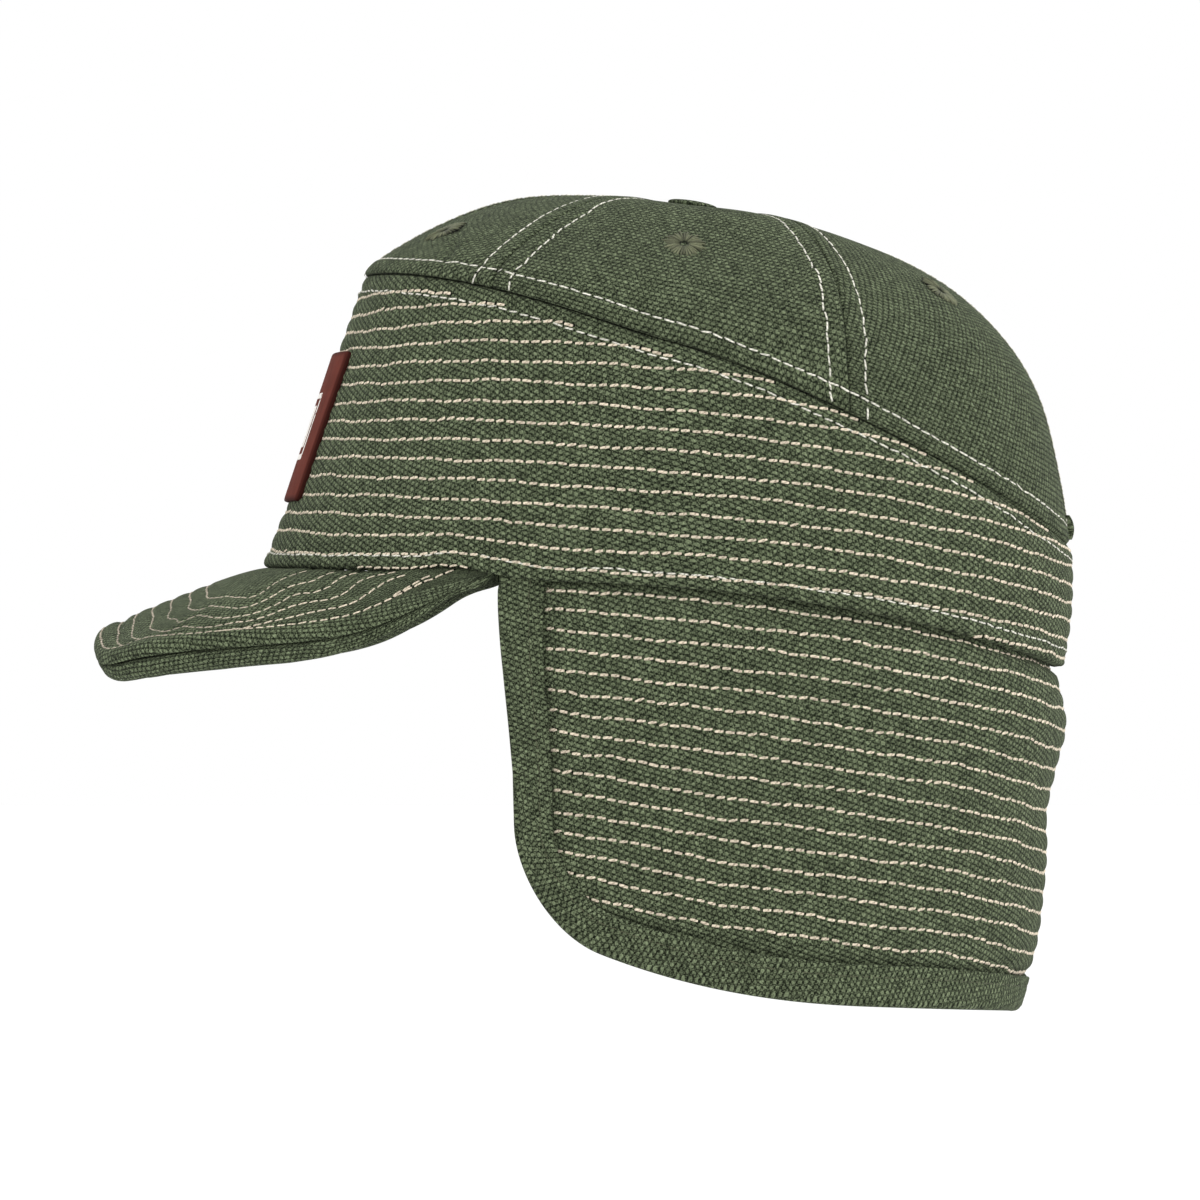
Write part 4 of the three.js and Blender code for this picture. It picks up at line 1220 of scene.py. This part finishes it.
def build_eyelet(name, degrees, rise):
    """An embroidered ring: threads that run from the hole over a low crest to the cloth"""
    u, v = radians(degrees), np.asarray(rise)
    out = CROWN_FACE.normal(u, v)
    centre = CROWN_FACE.place(u, v)
    east = np.cross([0, 0, 1.0], out)
    east /= np.linalg.norm(east)
    north = np.cross(out, east)
    chance = np.random.default_rng(int(degrees))
    points, quads, dips, tones, others = [], [], [], [], []
    sides = 5
    for thread_number in range(EYELET_THREADS):
        swing = TURN * (thread_number + chance.uniform(-0.25, 0.25)) / EYELET_THREADS
        ray = east * math.cos(swing) + north * math.sin(swing)
        beside = np.cross(out, ray)
        start = len(points)
        stretch = chance.uniform(0.8, 1.06)
        for (radius, lift), dip in zip(EYELET_THREAD, EYELET_THREAD_SHADE):
            reach = radius * (stretch if radius > 3 else 1)
            wide = min(0.29, 0.03 + 0.07 * radius)
            for side in range(sides):
                turn = TURN * side / sides
                spot = centre + ray * reach + out * lift
                spot = spot + beside * (wide * math.cos(turn)) + out * (0.2 * math.sin(turn))
                points.append(spot)
                dips.append(dip)
                tones.append(0)
        shade = chance.uniform(0.6, 1.5)
        tones[start:] = [shade] * (len(points) - start)
        for ring in range(len(EYELET_THREAD) - 1):
            for side in range(sides):
                a, b = start + ring * sides + side, start + ring * sides + (side + 1) % sides
                quads.append((a, b, b + sides, a + sides))
        others.append([start + side for side in range(sides)][::-1])
        others.append(list(range(len(points) - sides, len(points))))
    # Painted shade: the base under the threads and the hole in its middle take the full dip shade at half
    # tone, a dark sheet that shows between the threads
    start = len(points)
    ring_sides = 32
    for radius, lift in EYELET_BASE:
        for side in range(ring_sides):
            swing = TURN * side / ring_sides
            points.append(centre + (east * math.cos(swing) + north * math.sin(swing)) * radius + out * lift)
            dips.append(1.0)
            tones.append(0.5)
    for ring in range(len(EYELET_BASE) - 1):
        for side in range(ring_sides):
            a = start + ring * ring_sides + side
            b = start + ring * ring_sides + (side + 1) % ring_sides
            quads.append((a, b, b + ring_sides, a + ring_sides))
    made = make_object(f"{name}_sewn", points, quads, others, sharp=None)
    mark_points(made, dip=dips, tone=tones, ply=np.zeros(len(points)))
    return dress(made, "green_thread", name)


def build_button():
    """A button covered with canvas, drawn in a little under its rim"""
    radius, seat, height = BUTTON["radius"], BUTTON["seat"], BUTTON["height"]
    profile = []
    for step in np.linspace(0, 1, 20):
        turn = step * math.pi / 2
        profile.append((radius * math.sin(turn), seat + height * (0.35 + 0.65 * math.cos(turn) ** 0.8)))
    for step in np.linspace(0, 1, 9)[1:]:
        turn = step * math.pi / 2
        profile.append((radius - 0.9 * (1 - math.cos(turn)), seat + 0.35 * height - 0.75 * math.sin(turn)))
    profile += [(radius * 0.6, seat - 0.9), (0.0, seat - 1.6)]
    profile = np.asarray(profile)
    swing = TURN * np.arange(96) / 96
    gather = 1 + 0.012 * np.sin(14 * swing)[:, None] * smooth(profile[:, 0], 3.5, 6)[None, :]
    tilt = math.radians(BUTTON["tilt"])
    out = np.array([0, math.sin(tilt), math.cos(tilt)])
    north = np.array([0, math.cos(tilt), -math.sin(tilt)])
    east = np.array([1.0, 0, 0])
    x = np.cos(swing)[:, None] * profile[:, 0] * gather
    y = np.sin(swing)[:, None] * profile[:, 0] * gather
    points = np.array([0, APEX_Y, APEX_Z]) + x[..., None] * east + y[..., None] * north
    points = points + profile[None, :, 1, None] * out
    numbers, spots = grid_quads(96, len(profile), True, 0, False)
    uv = np.stack([x, y], -1)[spots[..., 0] % 96, spots[..., 1]]
    made = make_object("crown_button_covered", points, numbers, (), uv)
    return dress(made, "crown_cloth", "crown_button")


def build_band(columns=500, rows=104, inner_rows=20):
    angle = (TURN * np.arange(columns + 1) / columns)[:, None]
    low, high = band_edge(angle), height_round(CROWN_SEAM, angle)
    share = np.linspace(0, 1, rows)[None, :]
    share = np.concatenate([[[0, 0.003, 0.008]], share[:, 1:-1], [[0.992, 0.997, 1]]], 1)
    height = blend(low, high, share)
    wide = np.broadcast_to(angle, height.shape)
    outer = BAND_FACE.place(wide, height)
    back = blend(low, high, np.linspace(0, 1, inner_rows)[None, :])
    wall = blend(BAND_LIP_WALL, BAND_WALL, smooth(back - low, BAND_LIP_HEIGHT, BAND_LIP_HEIGHT + 2))
    inner = band_point(np.broadcast_to(angle, back.shape), back, wall)
    made = shell(
        "quilted_band_cloth",
        outer[:-1],
        inner[:-1],
        cloth_uv(band_along(wide), height - low),
        cloth_uv(band_along(np.broadcast_to(angle, back.shape)), back - low),
        ring=True,
    )
    dress(made, "quilted_cloth", "quilted_band")
    return made


def build_peak(columns=270):
    share = np.linspace(-0.985, 0.985, columns)[:, None]
    reach = peak_depth(share, 0.0 * share)
    fold = np.array(PEAK_FOLD)[None, :] * np.minimum(1, reach / 9)
    rest = fold[:, -1:] + (reach - fold[:, -1:]) * np.linspace(0, 1, 76)[None, 1:]
    out = 1 - (np.concatenate([fold, rest], 1) / reach)[:, ::-1]
    wide = np.broadcast_to(share, out.shape)
    kept_wide, kept_out = wide[:, ::15], out[:, ::15]
    for node, face in (("peak_top", PEAK_TOP), ("peak_under", PEAK_UNDER)):
        outer = face.place(wide, out)
        inner = peak_middle(kept_wide, kept_out) + face.normal(kept_wide, kept_out) * 0.03
        inner[:, -1] = peak_middle(wide[:, 0], out[:, -1] - PEAK_GROOVE["depth"] * 1.3 / reach[:, 0])
        across = running_length(outer, 0)
        across = across - across[columns // 2]
        along = running_length(outer, 1)
        uv = cloth_uv(across, along)
        inner_uv = uv[:, ::15]
        if face.outward < 0:
            outer, inner, uv, inner_uv = outer[::-1], inner[::-1], uv[::-1], inner_uv[::-1]
        made = shell(f"{node}_cloth", outer, inner, uv, inner_uv)
        dress(made, "quilted_cloth", node)


def flap_places(count):
    """Places across the flap, closer together by its rounded front corners"""
    edge = FLAP_HALF - 1.5
    share = np.linspace(-1, 1, count)
    return edge * blend(share, np.sin(share * math.pi / 2), 0.72)


def build_flap(columns=330, rows=112):
    place = flap_places(columns)[:, None]
    along = FLAP_HALF - np.abs(place)
    angle = flap_angle(along, 0.0)
    top = height_round(BAND_EDGE, angle) + FLAP_TUCK
    low = hem_height(along, 1.5)
    height = blend(low, top, np.linspace(0, 1, rows)[None, :])
    wide = np.broadcast_to(place, height.shape)
    outer = FLAP_OUT.place(wide, height)
    inner = FLAP_IN.place(wide, height)
    made = shell("neck_flap_cloth", outer, inner, cloth_uv(wide, height), cloth_uv(wide, height))
    return dress(made, "quilted_cloth", "neck_flap"), float(np.max(top - low)) * MM, surface_area(outer)


def binding_path(step=1.6):
    """The cut edge of the flap from the wearer's left round to the right, and the way inward"""
    top = height_round(BAND_EDGE, radians(FLAP_FRONT_ANGLE)) + 1.0
    corner = FLAP_HEM["corner"]
    front = np.linspace(top, hem_height(0.0), 60)
    turn = np.linspace(0, math.pi / 2, 26)[1:]
    bend = corner * (1 - np.cos(turn))
    rest = np.linspace(corner, FLAP_HALF, int((FLAP_HALF - corner) / step))[1:]
    along = np.concatenate([np.zeros(60), bend, rest])
    height = np.concatenate([front, hem_height(bend), hem_height(rest)])
    run = np.stack([np.gradient(along), np.gradient(height)], -1)
    run /= np.linalg.norm(run, axis=1)[:, None]
    inward = np.stack([-run[:, 1], run[:, 0]], -1)
    place = np.concatenate([along - FLAP_HALF, (FLAP_HALF - along)[-2::-1]])
    inward_place = np.concatenate([inward[:, 0], -inward[-2::-1, 0]])
    middle = len(along) - 1
    inward_place[middle] = 0
    return (
        place,
        np.concatenate([height, height[-2::-1]]),
        inward_place,
        np.concatenate([inward[:, 1], inward[-2::-1, 1]]),
    )


def binding_span(number):
    """Width of the binding at a station"""
    return np.interp(number, np.arange(len(BINDING_SPANS)), BINDING_SPANS)


def binding_point(number, into, offset):
    """A point of the binding, by the number of its station along the edge"""
    stations = np.arange(len(BINDING_PATH[0]))
    here, tall, across, up = (np.interp(number, stations, values) for values in BINDING_PATH)
    return flap_flat_point(here + across * into, tall + up * into, offset)


def binding_face(side):
    def point(number, share):
        swell = 0.3 * np.sin(math.pi * np.clip(share, 0, 1)) - 0.22 * bell(share, 0.72, 0.06)
        pucker = 0.13 * np.sin(number * 0.9 + 2.2 * np.sin(number * 0.13)) * smooth(share, 0.2, 0.7)
        half = FLAP_BOUND_WALL / 2 + 0.3 + BINDING_WALL + swell + pucker
        return binding_point(number, binding_span(number) * share, side * half)

    return Face(point, (0.5, 0.04), -side, None)


BINDING_PATH = binding_path()
BINDING_LENGTHS = np.concatenate(
    [[0], np.cumsum(np.hypot(np.diff(BINDING_PATH[0]), np.diff(BINDING_PATH[1])))]
)
BINDING_SPANS = binding_width(np.minimum(BINDING_LENGTHS, BINDING_LENGTHS[-1] - BINDING_LENGTHS))
BINDING_OUT = binding_face(1)


def build_binding():
    stations = np.arange(len(BINDING_PATH[0]), dtype=float)[:, None]
    half = FLAP_BOUND_WALL / 2 + 0.3 + BINDING_WALL
    face_in = FLAP_BOUND_WALL / 2 + 0.1
    bend = np.linspace(-math.pi / 2, math.pi / 2, 11)
    fold_into = (half * (1 - np.cos(bend)) * 0.85)[None, :]
    fold_offset = (half * np.sin(bend))[None, :]
    flat_share = np.linspace(0.16, 0.965, 14)
    lip_share = np.array([0.99, 1.012, 1.01, 0.99])
    lip_offset = np.array([half - 0.05, half - 0.35, half - 0.8, face_in])

    def face(side, share):
        wide, deep = np.broadcast_arrays(stations, share[None, :])
        shaped = binding_face(side).point(wide, deep)
        return shaped, deep * binding_span(wide)

    def line(share, offset):
        wide, deep = np.broadcast_arrays(stations, share[None, :])
        deep = deep * binding_span(wide)
        return binding_point(wide, deep, np.broadcast_to(offset[None, :], deep.shape)), deep

    left, left_into = face(-1, flat_share[::-1])
    right, right_into = face(1, flat_share)
    lip_low, lip_low_into = line(lip_share[::-1], -lip_offset[::-1])
    lip_high, lip_high_into = line(lip_share, lip_offset)
    wide = np.broadcast_to(stations, (len(stations), len(bend)))
    fold_into, fold_offset = (np.broadcast_to(values, wide.shape) for values in (fold_into, fold_offset))
    fold = binding_point(wide, fold_into, fold_offset)
    outer = np.concatenate([lip_low, left, fold, right, lip_high], 1)
    into = np.concatenate([-lip_low_into, -left_into, fold_offset * 0.8, right_into, lip_high_into], 1)
    inner_share = np.concatenate([np.linspace(0.99, 0.12, 5), np.linspace(0.12, 0.99, 5)])
    inner_offset = np.array([-face_in] * 5 + [face_in] * 5)
    inner, inner_into = line(inner_share, inner_offset)
    girth = running_length(outer[:, 12], 0)[:, None]
    made = shell("flap_binding_cloth", outer, inner, cloth_uv(girth, into), cloth_uv(girth, inner_into))
    dress(made, "binding_cloth", "flap_binding")
    return made, float(girth[-1, 0]), float(np.linalg.norm(np.diff(outer, axis=1), axis=-1).sum(1).mean())


def build_patch():
    """A thin leather rectangle with softly rounded corners, bent round the front of the band"""
    half_width, corner = PATCH["half_width"], PATCH["corner"]
    tall = (PATCH["top"] - PATCH["bottom"]) / 2
    middle = (PATCH["top"] + PATCH["bottom"]) / 2
    insets = np.array([0.0, 0.08, 0.3, 0.7, 1.3, 2.2, 3.1, 4.1, 6, 9, 12, 15, 18])
    lifts = np.array([-0.55, -0.28, -0.1, -0.02, 0, 0, 0, 0, 0, 0, 0, 0, 0])
    ring = []
    for sign_x, sign_y, start in ((1, 1, 0), (-1, 1, 1), (-1, -1, 2), (1, -1, 3)):
        for step in range(7):
            turn = (start + step / 6) * math.pi / 2
            x = sign_x * (half_width - corner) + corner * math.cos(turn)
            ring.append((x, sign_y * (tall - corner) + corner * math.sin(turn)))
    closed = np.asarray(ring + ring[:1])
    length = running_length(closed, 0)
    even = np.linspace(0, length[-1], 241)[:-1]
    ring = np.stack([np.interp(even, length, closed[:, axis]) for axis in range(2)], -1)

    def on_band(flat, lift):
        height = middle + flat[..., 1]
        wide = (HALF_WIDTH - SIDE_ROUND * height**2) / (1 + PATCH["flare"] * flat[..., 1] / tall)
        angle = np.arcsin(np.clip(signed_power(flat[..., 0] / wide, SQUARENESS / 2), -1, 1))
        point = band_point(angle, height)
        normal = BAND_FACE.normal(angle, height)
        return point + normal * np.asarray(lift)[..., None]

    narrower = (half_width - insets) / half_width
    shrink = np.stack([narrower, (tall - np.minimum(insets, tall - 0.05)) / tall], -1)
    flat = ring[:, None, :] * shrink[None]
    face = on_band(flat, np.broadcast_to(PATCH["wall"] + 0.3 + lifts, flat.shape[:2]))
    skirt = on_band(np.stack([ring, ring * 0.995], 1), np.array([[0.6, 0.1]]) + np.zeros((len(ring), 2)))
    outer = np.concatenate([skirt[:, ::-1], face], 1)
    rows = outer.shape[1]
    numbers, spots = grid_quads(len(ring), rows, True, 0, False)
    edge = np.concatenate([[0.0, 0.0], insets])
    on_face = np.concatenate([[0.0, 0.0], [0, 0.4], np.ones(len(insets) - 2)])
    uv = np.broadcast_to(np.stack([edge, on_face], -1), (len(ring), rows, 2))
    caps = [[k * rows + rows - 1 for k in range(len(ring))], [k * rows for k in range(len(ring))][::-1]]
    caps_uv = [(insets[-1], 1.0)] * len(ring) + [(0.0, 0.0)] * len(ring)
    uv = uv[spots[..., 0] % len(ring), spots[..., 1]]
    made = make_object("front_patch_leather", outer, numbers, caps, uv, caps_uv)
    return dress(made, "patch_hide", "front_patch")


def build_tab():
    """A short loop of folded tape that stands a little off the centre back"""
    across = np.concatenate([[-1, -0.98, -0.93], np.linspace(-0.85, 0.85, 13), [0.93, 0.98, 1]])
    up = np.concatenate([[0, 0.03, 0.1], np.linspace(0.2, 0.8, 9), [0.9, 0.97, 1]])
    wide, tall = np.meshgrid(across, up, indexing="ij")
    rise = blend(TAB["from"], TAB["to"], tall)
    face = crown_point(np.full(rise.shape, math.pi), rise)
    round_off = np.sqrt(np.clip(1 - np.abs(wide) ** 10, 0, 1)) * np.sin(math.pi * (0.08 + 0.84 * tall)) ** 0.5
    x, y, z = TAB["half_width"] * wide, face[..., 1], face[..., 2]
    outer = np.stack([x, y + 0.3 + TAB["wall"] * round_off, z], -1)[::-1]
    inner = np.stack([x, y - 0.2, z], -1)[::-1]
    uv = cloth_uv(outer[..., 0], outer[..., 2])
    made = shell("back_tab_cloth", outer, inner, uv, uv)
    dress(made, "binding_cloth", "back_tab")
    area = surface_area(outer)
    # The length is kept at 10 mm or more. No side under 10 mm can be declared
    length = max(float(np.ptp(running_length(outer, 1)[len(across) // 2])) * MM, 0.01)
    return made


# Sewing


def runs_where(face, u, v, keep, pitch):
    """Stitches on the stretches of a line that are kept"""
    runs = []
    edges = np.flatnonzero(np.diff(np.concatenate([[0], keep.astype(int), [0]])))
    for start, stop in zip(edges[::2], edges[1::2]):
        if stop - start > 2:
            runs.append(place_on_row(face, u[start:stop], v[start:stop], pitch))
    return runs


def band_rows(pitch):
    """The band's rows; each bends to follow the seam of the crown before it ends"""
    angle = np.linspace(0, TURN, 1500)
    low = band_edge(angle)
    runs = []
    for row in BAND_ROWS:
        line = band_row_height(row, angle)
        limit = band_top_line(angle) + 0.2 * np.sin(angle * 37 + row)
        past = line - limit
        bent = np.where(past > -1.2, limit - np.exp(-np.clip(past + 1.2, 0, 9)) * 1.2, line)
        keep = (past < 1.3 + 0.9 * math.sin(row * 2.4)) & (line > low + (0.1 if row < 0 else 0.5))
        keep &= (row >= 0) | (side_degrees(angle) > 60)
        runs += runs_where(BAND_FACE, angle[:-1], bent[:-1], keep[:-1], pitch)
    return runs


def flap_rows(face, pitch):
    place = np.linspace(-FLAP_HALF, FLAP_HALF, 900)
    along = FLAP_HALF - np.abs(place)
    runs = []
    for row in range(FLAP_ROW_COUNT):
        line = flap_row_height(row, place)
        low = height_round(BAND_EDGE, flap_angle(along, 0.0))
        keep = (inside_binding(place, line) > -0.4) & (line < low - 0.2)
        runs += runs_where(face, place, line, keep, pitch)
    return runs


def peak_rows(pitch):
    """The rows of the peak on both sides, and the row that joins it to the band"""
    runs = []
    for along, depth in PEAK_LINES:
        for side in (-1, 1):
            share = along * side
            out = peak_out(share, depth)
            runs += runs_where(PEAK_TOP, share, np.clip(out, 0, 1), out > 0.04, pitch)
    for side in (-1, 1):
        angle = radians(np.linspace(43, 63.5, 40)) * side
        runs.append(place_on_row(BAND_FACE, angle, band_edge(angle) + 0.35, pitch))
    return runs


def crown_lines(pitch):
    """Two lines beside each seam between panels, and one above the seam of the band"""
    runs = []
    for _, start, _, _, _ in PANELS:
        for side in (-1, 1):
            rise = np.linspace(-0.004, 0.93, 260)
            seam = np.full(rise.shape, float(radians(start)))
            step = 0.01
            girth = np.linalg.norm(crown_point(seam + step, rise) - crown_point(seam - step, rise), axis=-1)
            off = side * SEAM_TO_STITCH + wander(5 + side, rise * 110, 0.3)
            angle = seam + off / (girth / (2 * step))
            runs.append(place_on_row(CROWN_FACE, angle, np.maximum(rise, 0.004), pitch))
    angle = np.linspace(0, TURN, 900)
    rises = np.linspace(0, 0.3, 120)
    wide, tall = np.meshgrid(angle, rises, indexing="ij")
    away = np.linalg.norm(crown_point(wide, tall) - crown_point(wide, 0.0 * tall), axis=-1)
    rise = np.array([np.interp(SEAM_TO_STITCH, away[k], rises) for k in range(len(angle))])
    rise = rise + wander(3, band_along(angle), 0.0009)
    runs.append(place_on_row(CROWN_FACE, angle, rise, pitch))
    return runs


def band_lines(pitch):
    """Fine lines near the two edges of the band"""
    angle = np.linspace(0, TURN, 1200)
    top = height_round(CROWN_SEAM, angle) - BAND_WHITE_TOP + wander(9, band_along(angle), 0.14)
    back = (1 - np.cos(angle)) / 2
    low = band_edge(angle) + BAND_WHITE_EDGE + back**2 + wander(12, band_along(angle), 0.14)
    low = low + 0.8 * bell(side_degrees(angle), 66, 6)
    return [place_on_row(BAND_FACE, angle, top, pitch), place_on_row(BAND_FACE, angle, low, pitch)]


def binding_line(pitch):
    stations = np.linspace(1, len(BINDING_PATH[0]) - 2, 900)
    return [place_on_row(BINDING_OUT, stations, np.full(stations.shape, 0.72), pitch)]


class HAT_OT_crown(bpy.types.Operator):
    """Make the six crown panels and the covered button"""

    bl_idname = "work_hat.crown"
    bl_label = "Crown"

    def execute(self, context):
        for name, start, end, _, _ in PANELS:
            build_panel(f"crown_panel_{name}", start, end)
        build_button()
        return {"FINISHED"}


class HAT_OT_eyelets(bpy.types.Operator):
    """Embroider the six eyelets"""

    bl_idname = "work_hat.eyelets"
    bl_label = "Eyelets"

    def execute(self, context):
        for name, _, _, degrees, rise in PANELS:
            build_eyelet(f"eyelet_{name}", degrees, rise)
        return {"FINISHED"}


class HAT_OT_band(bpy.types.Operator):
    """Make the quilted band with its patch and its tab"""

    bl_idname = "work_hat.band"
    bl_label = "Band, patch and tab"

    def execute(self, context):
        build_band()
        build_patch()
        build_tab()
        return {"FINISHED"}


class HAT_OT_peak(bpy.types.Operator):
    """Make the two covers of the peak"""

    bl_idname = "work_hat.peak"
    bl_label = "Peak"

    def execute(self, context):
        build_peak()
        return {"FINISHED"}


class HAT_OT_flap(bpy.types.Operator):
    """Make the neck flap, its binding and their stitches"""

    bl_idname = "work_hat.flap"
    bl_label = "Neck flap"

    def execute(self, context):
        size = sizes()
        pitch, width = size.stitch_pitch / MM, size.stitch_width / MM
        flap, drop, area = build_flap()
        binding, length, wide = build_binding()
        beige = finish_named("quilting_thread")
        outside = sew("flap_quilting", flap_rows(FLAP_OUT, pitch), pitch, width, beige, 0.12)
        rows = flap_rows(FLAP_IN, pitch)
        inside = sew("flap_quilting_inside", rows, pitch, width * 0.8, beige, 0.0, 0.88, 4, False, 3)
        fine, green = size.topstitch_pitch / MM, finish_named("green_thread")
        edge = sew("binding_stitches", binding_line(fine), fine, 0.34, green, 0.0, 0.8)
        for piece in (outside, inside):
            dress(piece, "quilting_thread")
        dress(edge, "green_thread")
        length * MM
        wide * MM
        return {"FINISHED"}


class HAT_OT_sewing(bpy.types.Operator):
    """Sew the rows of the band and the peak and the fine lines of the crown"""

    bl_idname = "work_hat.sewing"
    bl_label = "Rows and topstitching"

    def execute(self, context):
        size = sizes()
        pitch, width = size.stitch_pitch / MM, size.stitch_width / MM
        beige, white = finish_named("quilting_thread"), finish_named("topstitch_thread")
        dress(sew("band_quilting", band_rows(pitch), pitch, width, beige, 0.12), "quilting_thread")
        rows = peak_rows(pitch)
        dress(sew("peak_quilting", rows, pitch, width * 0.72, beige, 0.05, front_darkening=0.4), "quilting_thread")
        fine, thin = size.topstitch_pitch / MM, size.topstitch_width / MM
        lines = crown_lines(fine)
        dress(sew("crown_topstitching", lines, fine, thin * 1.15, white, 0.02, 1.0), "topstitch_thread")
        lines = band_lines(fine)
        dress(sew("band_topstitching", lines, fine, thin, white, 0.02, 0.9), "topstitch_thread")
        return {"FINISHED"}


class HAT_OT_stage(bpy.types.Operator):
    """Set the pale floor, the soft lights and the camera"""

    bl_idname = "work_hat.stage"
    bl_label = "Stage"

    def execute(self, context):
        build_floor()
        build_lights()
        build_camera()
        return {"FINISHED"}


# Stage


def build_floor():
    drop = sizes().floor_drop / MM
    corners = [(x * FLOOR_HALF, y * FLOOR_HALF, -drop) for x, y in ((-1, -1), (1, -1), (1, 1), (-1, 1))]
    floor = make_object("studio_floor", corners, [(0, 1, 2, 3)], sharp=None)
    paint = Finish("floor_paint", 0.8)
    paint.shader.inputs["Base Color"].default_value = (*colours().floor, 1)
    floor.data.materials.append(paint.material)


def build_lights():
    world = bpy.data.worlds.new("studio")
    world.use_nodes = True
    background = world.node_tree.nodes["Background"]
    background.inputs[0].default_value = (1, 1, 1, 1)
    background.inputs[1].default_value = 1.0
    bpy.context.scene.world = world
    bpy.context.scene.view_settings.view_transform = "Standard"
    bpy.context.scene.view_settings.look = "None"
    sky = bpy.data.lights.new("sky_light", "SUN")
    sky.energy = 1.1
    sky.angle = math.radians(60)
    bpy.context.scene.collection.objects.link(bpy.data.objects.new("sky_light", sky))
    for name, place, width, height, power in (
        ("side_box", (3.0, 0.0, 1.1), 2.0, 2.0, 34),
        ("front_box", (0.1, -1.5, 0.5), 1.0, 1.2, 1.5),
        ("back_box", (0.0, 1.5, 0.45), 1.0, 1.2, 10),
    ):
        lamp = bpy.data.lights.new(name, "AREA")
        lamp.shape = "RECTANGLE"
        lamp.size = width
        lamp.size_y = height
        lamp.energy = power
        holder = bpy.data.objects.new(name, lamp)
        holder.location = place
        aim = -holder.location.normalized()
        holder.rotation_euler = aim.to_track_quat("-Z", "Y").to_euler()
        bpy.context.scene.collection.objects.link(holder)


def build_camera():
    """A long level lens from the wearer's left, as the picture was taken"""
    eye = bpy.data.cameras.new("side_view")
    eye.sensor_width = 36
    eye.lens = eye.sensor_width * CAMERA["focal"] / CAMERA["width"]
    eye.clip_end = 60
    holder = bpy.data.objects.new("side_view", eye)
    holder.location = CAMERA["place"]
    holder.rotation_euler = (math.pi / 2, 0, math.pi / 2)
    bpy.context.scene.collection.objects.link(holder)
    bpy.context.scene.camera = holder


class HAT_PT_panel(bpy.types.Panel):
    """The sizes, colours and steps of the work hat"""

    bl_idname = "HAT_PT_panel"
    bl_label = "Work hat"
    bl_space_type = "VIEW_3D"
    bl_region_type = "UI"
    bl_category = "Work hat"

    def draw(self, context):
        for group in (context.scene.work_hat_sizes, context.scene.work_hat_colours):
            box = self.layout.box()
            for name in group.bl_rna.properties.keys():
                if name not in ("rna_type", "name"):
                    box.prop(group, name)
        for step in STEPS:
            self.layout.operator(step.bl_idname)


STEPS = (
    HAT_OT_stage,
    HAT_OT_crown,
    HAT_OT_eyelets,
    HAT_OT_band,
    HAT_OT_peak,
    HAT_OT_flap,
    HAT_OT_sewing,
)
CLASSES = (HatSizes, HatColours, *STEPS, HAT_PT_panel)


def register():
    for kind in CLASSES:
        bpy.utils.register_class(kind)
    bpy.types.Scene.work_hat_sizes = PointerProperty(type=HatSizes)
    bpy.types.Scene.work_hat_colours = PointerProperty(type=HatColours)


def unregister():
    del bpy.types.Scene.work_hat_colours
    del bpy.types.Scene.work_hat_sizes
    for kind in reversed(CLASSES):
        bpy.utils.unregister_class(kind)


def main():
    register()
    for step in STEPS:
        group, name = step.bl_idname.split(".")
        getattr(getattr(bpy.ops, group), name)()


if __name__ == "__main__":
    main()
